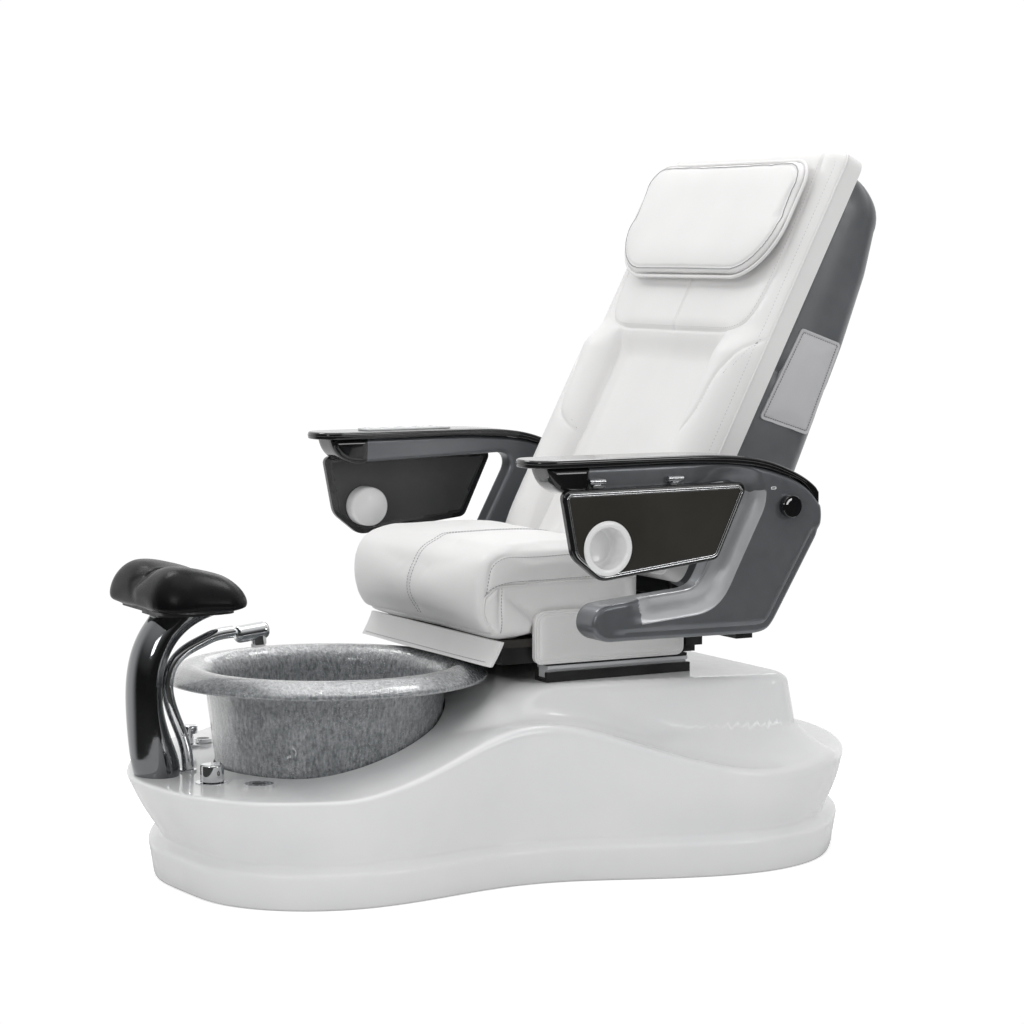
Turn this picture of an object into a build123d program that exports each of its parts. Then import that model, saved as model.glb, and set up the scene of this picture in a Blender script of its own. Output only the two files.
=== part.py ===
from build123d import *
import math
import os

os.makedirs("parts", exist_ok=True)

# Pedicure spa chair.  +Z up, floor at z = 0, the chair faces -Y, sitter's left is +X.

# ---- base tub -------------------------------------------------------------------------
FLOOR_HALF = [(0, -655), (120, -654), (223, -640), (325, -567), (374, -459), (367, -289), (343, -134),
              (351, -42), (394, 82), (436, 206), (450, 330), (412, 452), (314, 556), (187, 638), (0, 680)]
RIDGE_HALF = [(0, -711), (125, -708), (234, -686), (345, -606), (391, -480), (389, -300), (363, -134),
              (368, -42), (410, 84), (453, 206), (471, 340), (432, 470), (335, 574), (195, 656), (0, 698)]
FLOOR_FAR_FRONT = [(110, -622), (205, -574), (300, -510), (360, -430)]
RIDGE_FAR_FRONT = [(118, -672), (220, -620), (322, -550), (380, -457)]
RIDGE_Z_HALF = [190, 190, 190, 190, 195, 235, 279, 281, 250, 208, 187, 187, 187, 187, 187]
RIDGE_LINE = [(-460, 190), (-400, 199), (-342, 214), (-227, 251), (-130, 279), (-77, 283), (0, 272),
              (84, 246), (206, 207), (330, 187)]
LEDGE_Z = 60.0
WALL_FOOT_Z = 76.0
WALL_TOP_Z = 345.0
LEDGE_OUT = 9.0
WALL_IN = 12.0
SHELL_T = 9.0
PLATFORM_Z = 340.0
DECK_Z = 190.0

# ---- bowl -----------------------------------------------------------------------------
BOWL_Y = -330.0
BOWL_TOP_Z = 330.0
BOWL_R_TOP = 217.0
BOWL_R_DECK = 201.0
BOWL_FLOOR_Z = 96.0
LIP_R = 293.0
GLASS_T = 10.0
OPENING_GAP = 1.6
JET_Z = 168.0
JET_R = 30.0

# ---- footrest -------------------------------------------------------------------------
PAD_Y = -616.0
PAD_HALF = 156.0
PAD_DEPTH = 184.0

# ---- seat -----------------------------------------------------------------------------
SEAT_HALF = 262.0
SEAT_FRONT_Y = -160.0
SEAT_REAR_Y = 180.0
SEAT_BOTTOM_Z = 420.0
SEAT_TOP_Z = 586.0
RAIL_X = 232.0

# ---- arms -----------------------------------------------------------------------------
ARM_IN = 400.0
ARM_OUT = 468.0
TRAY_T = 14.0
TRAY_X = 472.0
TRAY_HINGE_Z = 716.0
CUP_Y = -25.0
CUP_Z = 602.0

# ---- back -----------------------------------------------------------------------------
RECLINE = 27.4
BACK_ORIGIN_Y = 173.2
BACK_ORIGIN_Z = 520.0
BACK_HALF = 304.0
PIVOT_Y = 285.0
PIVOT_Z = 455.0
ACTUATOR_Z = 389.0
LEVER = PIVOT_Z - ACTUATOR_Z


def back_point(s, t):
    """Point in the YZ plane: s up along the back, t rearwards from its front surface."""
    a = math.radians(RECLINE)
    return (BACK_ORIGIN_Y + s * math.sin(a) + t * math.cos(a),
            BACK_ORIGIN_Z + s * math.cos(a) - t * math.sin(a))


def back_plane(s=0.0, t=0.0):
    """Plane lying on the back: local x is -X, local y runs up the back, local z points rearwards."""
    a = math.radians(RECLINE)
    y, z = back_point(s, t)
    return Plane(origin=(0, y, z), x_dir=(-1, 0, 0), z_dir=(0, math.cos(a), -math.sin(a)))


def ring_of(half, far_front):
    """Closed outline: the sitter's left half, then the right half with its rounder front corner."""
    far = far_front + half[len(far_front) + 1:-1]
    return half + [(-x, y) for x, y in reversed(far)]


def offset_ring(points, d):
    out = []
    n = len(points)
    for i in range(n):
        ax, ay = points[i - 1]
        bx, by = points[(i + 1) % n]
        length = math.hypot(bx - ax, by - ay)
        x, y = points[i]
        out.append((x + d * (by - ay) / length, y - d * (bx - ax) / length))
    return out


def ring_face(points, z):
    wire = Wire([Edge.make_spline([Vector(x, y, z) for x, y in points], periodic=True)])
    return Face(wire)


def loft_rings(lower, z0, upper, z1):
    return Solid.make_loft([ring_face(lower, z0).outer_wire(), ring_face(upper, z1).outer_wire()], True)


def profile_block(drop, half_width=600.0):
    """Everything below the ridge line of the tub's top, lowered by drop."""
    pts = [(y, z - drop) for y, z in RIDGE_LINE]
    with BuildPart() as bp:
        with BuildSketch(Plane.YZ):
            with BuildLine():
                Line((-900, DECK_Z - drop), pts[0])
                Spline(*pts, tangents=[(1, 0), (1, 0)])
                Line(pts[-1], (900, pts[-1][1]))
                Line((900, pts[-1][1]), (900, -50))
                Line((900, -50), (-900, -50))
                Line((-900, -50), (-900, DECK_Z - drop))
            make_face()
        extrude(amount=half_width, both=True)
    return bp.part


def wall_top(inset):
    """Outline of the leaning side wall where it would reach WALL_TOP_Z."""
    floor = offset_ring(ring_of(FLOOR_HALF, FLOOR_FAR_FRONT), -WALL_IN)
    ridge = ring_of(RIDGE_HALF, RIDGE_FAR_FRONT)
    heights = RIDGE_Z_HALF + list(reversed(RIDGE_Z_HALF[1:-1]))
    top = []
    for (fx, fy), (rx, ry), h in zip(floor, ridge, heights):
        k = (WALL_TOP_Z - WALL_FOOT_Z) / (h - WALL_FOOT_Z)
        top.append((fx + (rx - fx) * k, fy + (ry - fy) * k))
    return offset_ring(top, -inset)


def rounded_quad(half_front, y_front, half_rear, y_rear, z, r_front, r_rear):
    with BuildSketch(Plane.XY.offset(z)) as sk:
        with BuildLine():
            Polyline((-half_front, y_front), (half_front, y_front), (half_rear, y_rear),
                     (-half_rear, y_rear), (-half_front, y_front))
        make_face()
        front = sk.vertices().sort_by(Axis.Y)[:2]
        fillet(front, r_front)
        rear = sk.vertices().sort_by(Axis.Y)[-4:]
        corners = [v for v in rear if abs(abs(v.X) - half_rear) < 1.0 and abs(v.Y - y_rear) < 1.0]
        fillet(corners, r_rear)
    return sk.sketch


def platform(drop):
    """Raised seat platform: gentle ramp in front, steep sides and rear."""
    top = rounded_quad(262 - drop, -62 + drop, 370 - drop, 446 - drop, PLATFORM_Z - drop, 60, 45)
    mid = rounded_quad(290 - drop, -205 + drop, 380 - drop, 458 - drop, 250 - drop, 60, 52)
    low = rounded_quad(320 - drop, -360 + drop, 425 - drop, 505 - drop, 180 - drop, 60, 70)
    upper = loft([mid, top], ruled=True)
    lower = loft([low, mid], ruled=True)
    return upper + lower


def bowl_cone(extra, z0, z1):
    slope = (BOWL_R_TOP - BOWL_R_DECK) / (BOWL_TOP_Z - DECK_Z)
    r0 = BOWL_R_DECK + (z0 - DECK_Z) * slope + extra
    r1 = BOWL_R_DECK + (z1 - DECK_Z) * slope + extra
    return Pos(0, BOWL_Y, (z0 + z1) / 2) * Cone(r0, r1, z1 - z0)


def base_shell():
    floor = ring_of(FLOOR_HALF, FLOOR_FAR_FRONT)
    plinth = loft_rings(floor, 0.0, offset_ring(floor, LEDGE_OUT), LEDGE_Z)
    ledge = loft_rings(offset_ring(floor, LEDGE_OUT), LEDGE_Z, offset_ring(floor, -WALL_IN), WALL_FOOT_Z)
    wall = loft_rings(offset_ring(floor, -WALL_IN), WALL_FOOT_Z, wall_top(0.0), WALL_TOP_Z)
    top = profile_block(0.0) + platform(0.0)
    top = fillet([e for e in top.edges() if e.bounding_box().min.Z > PLATFORM_Z - 1], 14)
    body = plinth + ledge + (wall & top)
    foot = offset_ring(floor, -WALL_IN - SHELL_T)
    body -= loft_rings(foot, -1.0, foot, WALL_FOOT_Z + 2.0)
    cavity_wall = loft_rings(foot, WALL_FOOT_Z + 2.0, wall_top(SHELL_T), WALL_TOP_Z)
    body -= cavity_wall & (profile_block(SHELL_T) + platform(SHELL_T))
    body -= bowl_cone(OPENING_GAP, 120.0, 420.0)
    for x, y, r in ((0, -600, 13), (123, -605, 12), (197, -549, 21), (-249, -493, 12), (-272, -458, 14)):
        body -= Pos(x, y, DECK_Z) * Cylinder(r, 60)
    for sx in (-1, 1):
        for y in (20, 250):
            body -= Pos(sx * RAIL_X, y, PLATFORM_Z) * Cylinder(4.5, 60)
    return body


def bowl_profile():
    """Outer and inner wall of the flared glass bowl, as (radius, z)."""
    with BuildSketch(Plane.XZ) as sk:
        with BuildLine():
            Line((0, BOWL_FLOOR_Z), (150, BOWL_FLOOR_Z))
            Spline((150, BOWL_FLOOR_Z), (186, 114), (BOWL_R_DECK - 4, 160), tangents=[(1, 0), (0.12, 1)])
            Line((BOWL_R_DECK - 4, 160), (BOWL_R_TOP - 1, 322))
            Spline((BOWL_R_TOP - 1, 322), (238, 351), (288, 342), tangents=[(0.12, 1), (1, -0.42)])
            Line((288, 342), (LIP_R, 349))
            Spline((LIP_R, 349), (250, 369), (214, 352), (BOWL_R_TOP - GLASS_T - 1, 322),
                   tangents=[(-1, 0.5), (-0.12, -1)])
            Line((BOWL_R_TOP - GLASS_T - 1, 322), (BOWL_R_DECK - 4 - GLASS_T, 160))
            Spline((BOWL_R_DECK - 4 - GLASS_T, 160), (178, 122), (145, BOWL_FLOOR_Z + GLASS_T),
                   tangents=[(-0.12, -1), (-1, 0)])
            Line((145, BOWL_FLOOR_Z + GLASS_T), (0, BOWL_FLOOR_Z + GLASS_T))
            Line((0, BOWL_FLOOR_Z + GLASS_T), (0, BOWL_FLOOR_Z))
        make_face()
    return sk.sketch


def glass_bowl():
    body = revolve(bowl_profile(), Axis.Z, 360)
    body = Pos(0, BOWL_Y, 0) * body
    body -= Pos(0, BOWL_Y, BOWL_FLOOR_Z) * Cylinder(24, 60)
    body -= Pos(0, BOWL_Y + 200, JET_Z) * Rot(90, 0, 0) * Cylinder(JET_R, 90)
    return body


def bowl_cradle():
    """Moulded ring that carries the bowl's floor on the tub's inner frame."""
    ring = Cylinder(142, 24) - Cylinder(112, 30)
    body = Pos(0, BOWL_Y, BOWL_FLOOR_Z - 12.2) * ring
    for a in (45, 135, 225, 315):
        x = 127 * math.cos(math.radians(a))
        y = 127 * math.sin(math.radians(a))
        body += Pos(x, BOWL_Y + y, 45) * Box(26, 26, 60)
    return body


def bowl_drain():
    z = BOWL_FLOOR_Z + GLASS_T
    body = Pos(0, BOWL_Y, z + 2.2) * Cylinder(34, 4)
    body += Pos(0, BOWL_Y, z - 22) * Cylinder(23.4, 50)
    body += Pos(0, BOWL_Y, 45) * Cylinder(19, 40)
    body -= Pos(0, BOWL_Y, z + 3) * Cylinder(18, 8)
    body -= Pos(0, BOWL_Y, 52) * Cylinder(15, 80)
    for a in range(0, 180, 45):
        bar = Pos(0, BOWL_Y, z + 1.2) * Rot(0, 0, a) * Box(38, 4, 2.4)
        body += bar
    return body


def jet_axis_pos(y):
    return Pos(0, y, JET_Z) * Rot(90, 0, 0)


def jet_housing():
    y_wall = BOWL_Y + BOWL_R_DECK
    body = jet_axis_pos(y_wall + 21) * Cylinder(44, 24)
    body += jet_axis_pos(y_wall - 6) * Cylinder(29.4, 40)
    body += jet_axis_pos(y_wall + 62) * Cylinder(36, 70)
    body -= jet_axis_pos(y_wall - 12) * Cylinder(25, 52)
    body -= jet_axis_pos(y_wall + 20) * Cylinder(3.05, 40)
    return body


def jet_impeller():
    y_wall = BOWL_Y + BOWL_R_DECK
    body = jet_axis_pos(y_wall - 2) * Cylinder(9, 20)
    body += jet_axis_pos(y_wall + 17) * Cylinder(3.0, 24)
    for k in range(5):
        blade = Pos(0, y_wall - 2, JET_Z) * Rot(0, 72 * k, 0) * Pos(0, 0, 15) * Rot(0, 0, 28) * Box(2.4, 16, 14)
        body += blade
    return body


def jet_cover():
    y_wall = BOWL_Y + BOWL_R_DECK
    body = jet_axis_pos(y_wall - 29) * Cylinder(36, 5)
    body -= jet_axis_pos(y_wall - 29) * Cylinder(5, 10)
    for k in range(8):
        a = math.radians(45 * k)
        body -= Pos(18 * math.cos(a), y_wall - 29, JET_Z + 18 * math.sin(a)) * Rot(90, 0, 0) * Cylinder(4.5, 10)
    return body


def base_frame():
    """Welded tube frame under the seat platform, standing on the floor."""
    body = Part()
    for sx in (-1, 1):
        for y in (20, 250):
            body += Pos(sx * RAIL_X, y, 178) * Box(36, 36, 300)
        body += Pos(sx * RAIL_X, 135, 310) * Box(36, 194, 30)
        body += Pos(sx * RAIL_X, -30, 44) * Box(36, 620, 32)
    for y in (-322, 20, 250):
        body += Pos(0, y, 44) * Box(2 * RAIL_X - 36, 30, 32)
    body -= Pos(0, BOWL_Y, 60) * Cylinder(24, 80)
    for sx in (-1, 1):
        for y in (-320, 260):
            body -= Pos(sx * RAIL_X, y, 34) * Cylinder(6.05, 50)
        for y in (20, 250):
            body -= Pos(sx * RAIL_X, y, 318) * Cylinder(4.5, 40)
    return body


def levelling_feet():
    body = Part()
    for sx in (-1, 1):
        for y in (-320, 260):
            body += Pos(sx * RAIL_X, y, 5) * Cylinder(24, 10)
            body += Pos(sx * RAIL_X, y, 30) * Cylinder(6.0, 44)
            body += Pos(sx * RAIL_X, y, 20) * extrude(RegularPolygon(11, 6), 7)
    return body


def drain_pump():
    body = Pos(-120, -60, 42) * Box(90, 70, 60)
    body += Pos(-60, -60, 42) * Rot(0, 90, 0) * Cylinder(24, 50)
    body += Pos(-120, -60, 86) * Cylinder(11, 30)
    return body


def control_box():
    body = Pos(120, 135, 130) * Box(150, 110, 110)
    body = fillet(body.edges().filter_by(Axis.Z), 8)
    body += Pos(120, 135, 65) * Box(110, 90, 20)
    return body


def mixer_body():
    """Mixing valve under the deck, with the hot and cold tails."""
    body = Pos(60, -600, 145) * Rot(0, 90, 0) * Cylinder(17, 160)
    body += Pos(123, -605, 166) * Cylinder(11.5, 42)
    body += Pos(0, -600, 160) * Cylinder(12, 30)
    for x in (30, 90):
        body += Pos(x, -600, 105) * Cylinder(9, 60)
        body += Pos(x, -600, 127) * Cylinder(12, 14)
    body -= Pos(123, -605, 190) * Cylinder(4.05, 30)
    return body


def column_sections():
    # z, centre y, half width in x, half depth in y
    return [(190.4, -659, 50, 38), (250, -670, 50, 37), (325, -681, 50, 29), (380, -676, 48, 30),
            (425, -658, 47, 35), (455, -631, 49, 45), (472, -602, 54, 63)]


def footrest_column():
    faces = []
    for z, y, a, b in column_sections():
        faces.append(Plane.XY.offset(z) * Pos(0, y) * Ellipse(a, b))
    return loft(faces)


def footrest_plate():
    """Black bracket in the column's flare, welded to the plate under the pad."""
    body = Pos(0, -604, 477.2) * Box(110, 128, 9)
    body = fillet(body.edges().filter_by(Axis.Z), 20)
    plate = Pos(0, PAD_Y, 484.6) * Box(236, 134, 6)
    return body + fillet(plate.edges().filter_by(Axis.Z), 30)


def footrest_pad():
    """Saddle-shaped upholstered pad."""
    h = PAD_HALF
    with BuildPart() as bp:
        with BuildSketch(Plane.XZ.offset(-PAD_Y)):
            with BuildLine():
                Line((-0.84 * h, 488.6), (0.84 * h, 488.6))
                Spline((0.84 * h, 488.6), (h, 510), (0.84 * h, 543), (0.36 * h, 561), (0, 552),
                       (-0.36 * h, 561), (-0.84 * h, 543), (-h, 510), (-0.84 * h, 488.6),
                       tangents=[(1, 0.2), (1, -0.2)])
            make_face()
        extrude(amount=PAD_DEPTH / 2, both=True)
    block = Pos(0, PAD_Y, 520) * Box(2 * h, PAD_DEPTH, 130)
    return bp.part & fillet(block.edges().filter_by(Axis.Z), 64)


def spout_path():
    with BuildLine() as path:
        Spline((0, -600, 190.5), (0, -607, 243), (0, -632, 312), (0, -637, 352), (0, -618, 394),
               (0, -568, 422), (0, -512, 434), tangents=[(0, 0, 1), (0, 1, 0.05)])
    return path.line


def spout_pipe():
    path = spout_path()
    body = sweep(Plane(path @ 0, z_dir=path % 0) * Circle(11.0), path)
    end = path @ 1
    return body - Pos(0, end.Y - 14, end.Z - 0.7) * Rot(-87.1, 0, 0) * Cylinder(6.08, 34)


def spray_head():
    """Pull-out spray head: bulb with a stem that docks in the spout."""
    end = spout_path() @ 1
    bulb = Pos(0, end.Y + 36, 431) * Rot(-84, 0, 0) * Cylinder(15.5, 66)
    bulb = fillet(bulb.edges(), 11)
    bulb += Pos(0, end.Y + 50, 417) * Rot(5, 0, 0) * Cylinder(14, 16)
    stem = Pos(0, end.Y - 10, end.Z - 0.5) * Rot(-87.1, 0, 0) * Cylinder(6.0, 30)
    return bulb + stem


def spray_outlet():
    end = spout_path() @ 1
    body = Pos(0, end.Y + 49.5, 407.6) * Rot(5, 0, 0) * Cylinder(13, 6)
    return body - spray_head()


def deck_escutcheons():
    """Collars and dial rings that trim the holes in the deck."""
    body = Pos(123, -605, DECK_Z + 1.2) * (Cylinder(29, 2) - Cylinder(12.2, 6))
    body += Pos(-249, -493, DECK_Z + 2.2) * (Cylinder(15, 4) - Cylinder(6.4, 8))
    body += Pos(0, -600, DECK_Z + 2.4) * (Cylinder(15.5, 4.4) - Cylinder(11.3, 10))
    return body


def mixer_knob():
    body = Pos(123, -605, DECK_Z + 18) * Cylinder(20.5, 30)
    top = body.faces().sort_by(Axis.Z)[-1]
    body = fillet(top.edges(), 3)
    body += Pos(123, -605, DECK_Z + 1) * Cylinder(4.0, 20)
    body += Pos(123, -588, DECK_Z + 25) * Cylinder(2.2, 20)
    return body


def diverter_handle():
    body = Pos(-249, -493, DECK_Z + 12) * Cylinder(6.0, 40)
    body += Pos(-249, -493, DECK_Z + 32) * Cylinder(14, 15)
    body = fillet(body.faces().sort_by(Axis.Z)[-1].edges(), 2.5)
    body += Pos(-249, -493, DECK_Z + 34) * Rot(0, 90, 0) * Cylinder(4, 44)
    return body


def push_button_spots():
    return [(197, -549, DECK_Z), (-272, -458, DECK_Z + 2.4)]


def button_bezels():
    body = Part()
    for x, y, z in push_button_spots():
        rim = 25 if x > 0 else 17
        bezel = Pos(x, y, z + 3.2) * (Cylinder(rim, 6) - Cylinder(12.3, 10))
        bezel += Pos(x, y, z - 12) * (Cylinder(13.5, 26) - Cylinder(12.3, 30))
        bezel += Pos(x, y, z - 26) * Cylinder(13.5, 3)
        body += bezel
    return body


def push_button(index):
    x, y, z = push_button_spots()[index]
    body = Pos(x, y, z - 2.5) * Cylinder(12.2, 17)
    return fillet(body.faces().sort_by(Axis.Z)[-1].edges(), 1.5)


def rail_outer():
    """Channels screwed to the seat platform."""
    body = Part()
    for sx in (-1, 1):
        x = sx * RAIL_X
        rail = Pos(x, 135, PLATFORM_Z + 9.2) * Box(44, 300, 18)
        rail -= Pos(x, 135, PLATFORM_Z + 12.2) * Box(30, 310, 12.4)
        for y in (20, 250):
            rail -= Pos(x, y, PLATFORM_Z) * Cylinder(4.5, 20)
        body += rail
    return body


def rail_inner():
    """Sliders that run in the channels and carry the seat's under-frame."""
    body = Part()
    for sx in (-1, 1):
        x = sx * RAIL_X
        body += Pos(x, 135, PLATFORM_Z + 15.5) * Box(28, 292, 16)
        body += Pos(x, 135, PLATFORM_Z + 26.4) * Box(40, 292, 6)
    return body


def slide_actuator():
    """Drive of the seat slide; its bore takes the push rod of the under-frame."""
    body = Pos(0, 255, PLATFORM_Z + 12.2) * Box(60, 110, 24)
    body += Pos(0, 171, PLATFORM_Z + 14.2) * Rot(90, 0, 0) * Cylinder(9, 60)
    body -= Pos(0, 222, PLATFORM_Z + 14.2) * Rot(90, 0, 0) * Cylinder(5.08, 172)
    return body


def seat_frame():
    """Steel under-frame of the seat: side rails, cross tubes, recline lugs and push rod."""
    body = Part()
    for sx in (-1, 1):
        body += Pos(sx * 216, 108, 389.2) * Box(30, 404, 30)
        body += Pos(sx * RAIL_X, 135, 372.4) * Box(36, 292, 5.4)
        lug = Pos(sx * 216, 285, 425) * Box(12, 44, 66)
        lug += Pos(sx * 216, PIVOT_Y, PIVOT_Z) * Rot(0, 90, 0) * Cylinder(22, 12)
        lug -= Pos(sx * 216, PIVOT_Y, PIVOT_Z) * Rot(0, 90, 0) * Cylinder(8.05, 30)
        body += lug
    for y in (-80, 32, 225):
        body += Pos(0, y, 389.2) * Box(402, 28, 30)
    body -= Pos(0, 225, ACTUATOR_Z) * Rot(90, 0, 0) * Cylinder(10, 60)
    body += Pos(0, 32, 367) * Box(24, 16, 36)
    body += Pos(0, 124, PLATFORM_Z + 14.2) * Rot(90, 0, 0) * Cylinder(5.0, 182)
    return body


def seat_pan():
    body = Pos(0, 42, 411.7) * Box(476, 276, 14)
    return fillet(body.edges().filter_by(Axis.Z), 20)


def seat_cushion():
    """Thick seat cushion with a rolled front."""
    with BuildPart() as bp:
        with BuildSketch(Plane.YZ):
            with BuildLine():
                Line((SEAT_REAR_Y, SEAT_BOTTOM_Z), (-112, SEAT_BOTTOM_Z))
                Spline((-112, SEAT_BOTTOM_Z), (-146, 450), (SEAT_FRONT_Y, 505), (-146, 562), (-112, 583),
                       tangents=[(-1, 0.25), (1, 0.3)])
                Spline((-112, 583), (-40, SEAT_TOP_Z + 2), (60, SEAT_TOP_Z), (SEAT_REAR_Y - 20, 574),
                       tangents=[(1, 0.3), (1, -0.2)])
                Line((SEAT_REAR_Y - 20, 574), (SEAT_REAR_Y, SEAT_BOTTOM_Z))
            make_face()
        extrude(amount=SEAT_HALF, both=True)
    body = bp.part
    for sx in (-1, 1):
        body -= Pos(sx * 258, 80, 440) * Box(38, 246, 64)
    return body


def seat_skirt(sx):
    body = Pos(sx * 251, 115, 421.5) * Box(20, 310, 92)
    return fillet(body.edges().filter_by(Axis.X), 14)


def seat_apron():
    """Padded leather flap hanging in front of the under-frame."""
    with BuildPart() as bp:
        with BuildSketch(Plane.YZ):
            Polygon((-111, 419.4), (-105, 419.4), (-122, 377), (-128, 377), align=None)
        extrude(amount=262, both=True)
    return bp.part


def arm_outline():
    """Side view of the C-shaped arm: beam, rear post and lower leg, as (y, z)."""
    with BuildSketch(Plane.YZ) as sk:
        with BuildLine():
            Line((-128, 741), (170, 741))
            Spline((170, 741), (300, 728), (395, 690), (428, 655), tangents=[(1, 0), (-0.05, -1)])
            Spline((428, 655), (427, 630), (420, 600), tangents=[(-0.05, -1), (-0.5, -0.85)])
            Line((420, 600), (330, 452))
            Spline((330, 452), (318, 440), (290, 434), tangents=[(-0.5, -0.9), (-1, -0.05)])
            Line((290, 434), (0, 437))
            Spline((0, 437), (-42, 470), (-8, 502), tangents=[(-1, 0), (1, 0.12)])
            Line((-8, 502), (160, 517))
            Spline((160, 517), (186, 530), (205, 560), tangents=[(1, 0.08), (0.4, 1)])
            Line((205, 560), (262, 668))
            Spline((262, 668), (264, 698), (240, 704), tangents=[(0.4, 1), (-1, 0)])
            Line((240, 704), (-60, 694))
            Spline((-60, 694), (-105, 702), (-128, 741), tangents=[(-1, 0), (-0.2, 1)])
        make_face()
    return sk.sketch


def arm_shell(sx):
    body = extrude(Pos(ARM_IN, 0, 0) * arm_outline(), amount=ARM_OUT - ARM_IN, dir=(1, 0, 0))
    body -= Pos(ARM_OUT, 355, 658) * Rot(0, 90, 0) * Cylinder(5.05, 40)
    body -= Pos(ARM_OUT - 3, 69, 713) * Box(20, 400, 19)
    if sx < 0:
        body = mirror(body, Plane.YZ)
    return body


def arm_board(sx):
    """Gloss top board, rounded at the nose, following the crest of the arm to the rear."""
    with BuildPart() as bp:
        with BuildSketch(Plane.XY.offset(640)):
            with BuildLine():
                Line((376, -125), (382, 200))
                Spline((382, 200), (396, 330), (404, 424), tangents=[(0, 1), (0.05, 1)])
                Line((404, 424), (464, 424))
                Spline((464, 424), (472, 330), (476, 200), tangents=[(0.05, -1), (0, -1)])
                Line((476, 200), (476, -125))
                Spline((476, -125), (426, -163), (376, -125), tangents=[(0, -1), (0, 1)])
            make_face()
        extrude(amount=140)
    body = bp.part & extrude(Pos(350, 0, 0) * board_profile(), amount=150, dir=(1, 0, 0))
    if sx < 0:
        body = mirror(body, Plane.YZ)
    return body


def board_profile():
    """Side view of the top board: flat over the beam, then curving down behind."""
    crest = [(170, 741.3), (300, 728.4), (395, 690.6), (428, 655.4)]
    with BuildSketch(Plane.YZ) as sk:
        with BuildLine():
            Line((-170, 741.3), crest[0])
            Spline(*crest, tangents=[(1, 0), (-0.05, -1)])
            Line(crest[-1], (438, 655.4))
            Spline((438, 655.4), (405, 700), (306, 741), (170, 755), tangents=[(0, 1), (-1, 0)])
            Line((170, 755), (-170, 755))
            Line((-170, 755), (-170, 741.3))
        make_face()
    return sk.sketch


def keypad():
    body = Pos(-424, 40, 757.4) * Box(52, 190, 3.6)
    return fillet(body.edges().filter_by(Axis.Z), 10)


def arm_brackets():
    """Steel brackets that carry the arms from the seat's under-frame."""
    body = Part()
    for sx in (-1, 1):
        bracket = Pos(sx * 330, 292, 427) * Box(190, 34, 12)
        bracket += Pos(sx * 245, 292, 411) * Box(26, 34, 44)
        for y in (283, 301):
            bracket -= Pos(sx * 415, y, 427) * Cylinder(3.6, 20)
        body += bracket
    return body


def tray_outline(inset):
    corners = [((-114, 703), 12), ((262, 706), 12), ((198, 572), 18), ((-38, 545), 34), ((-92, 588), 34)]
    with BuildSketch(Plane.YZ) as sk:
        with BuildLine():
            Polyline(*[c for c, r in corners], close=True)
        make_face()
        for (y, z), r in corners:
            spot = [v for v in sk.vertices() if math.hypot(v.X - y, v.Y - z) < 0.5]
            fillet(spot, r)
        if inset:
            offset(amount=-inset, mode=Mode.REPLACE)
    return sk.sketch


def tray_panel(sx):
    body = extrude(Pos(TRAY_X, 0, 0) * tray_outline(0), amount=TRAY_T, dir=(1, 0, 0))
    body = fillet(body.faces().sort_by(Axis.X)[-1].edges(), 2.5)
    body -= Pos(TRAY_X, CUP_Y, CUP_Z) * Rot(0, 90, 0) * Cylinder(39.5, 80)
    if sx < 0:
        body = mirror(body, Plane.YZ)
    return body


def cup_holder(sx):
    x = TRAY_X + TRAY_T
    body = Pos(x + 2.0, CUP_Y, CUP_Z) * Rot(0, 90, 0) * Cylinder(47.5, 3.6)
    body = fillet(body.faces().sort_by(Axis.X)[-1].edges(), 1.5)
    body += Pos(x - 21, CUP_Y, CUP_Z) * Rot(0, 90, 0) * Cylinder(39.2, 46)
    body -= Pos(x - 18, CUP_Y, CUP_Z) * Rot(0, 90, 0) * Cylinder(36.5, 47)
    body -= Pos(x + 3, CUP_Y, CUP_Z) * Rot(0, 90, 0) * Cylinder(36.5, 10)
    if sx < 0:
        body = mirror(body, Plane.YZ)
    return body


def hinge_axis_x():
    return TRAY_X + 2.0


def tray_hinge_fixed(sx):
    """Knuckles and leaves screwed to the arm; a pin runs through each hinge."""
    body = Part()
    x = hinge_axis_x()
    for y in (-40, 116):
        hinge = Pos(x - 11.5, y, TRAY_HINGE_Z) * Box(13, 30, 2.4)
        for dy in (-11, 11):
            hinge += Pos(x, y + dy, TRAY_HINGE_Z) * Rot(90, 0, 0) * Cylinder(5, 8)
            hinge += Pos(x - 4.9, y + dy, TRAY_HINGE_Z) * Box(5, 8, 2.4)
        hinge += Pos(x, y, TRAY_HINGE_Z) * Rot(90, 0, 0) * Cylinder(2.0, 30)
        body += hinge
    if sx < 0:
        body = mirror(body, Plane.YZ)
    return body


def tray_hinge_moving(sx):
    body = Part()
    x = hinge_axis_x()
    for y in (-40, 116):
        hinge = Pos(x, y, TRAY_HINGE_Z) * Rot(90, 0, 0) * Cylinder(5, 13.2)
        hinge += Pos(x + 1.8, y, TRAY_HINGE_Z - 6.4) * Box(2.4, 13.2, 8)
        hinge += Pos(x + 4, y, 708.0) * Box(7, 24, 4.4)
        hinge -= Pos(x, y, TRAY_HINGE_Z) * Rot(90, 0, 0) * Cylinder(2.06, 40)
        body += hinge
    if sx < 0:
        body = mirror(body, Plane.YZ)
    return body


def arm_knob(sx):
    body = Pos(sx * (ARM_OUT + 7.6), 355, 658) * Rot(0, 90, 0) * Cylinder(20, 14)
    body = chamfer(body.edges(), 1.5)
    body += Pos(sx * (ARM_OUT - 7), 355, 658) * Rot(0, 90, 0) * Cylinder(5.0, 24)
    return body


def in_back(s, t, x=0.0):
    return back_plane(s, t).location * Pos(-x, 0, 0)


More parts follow.
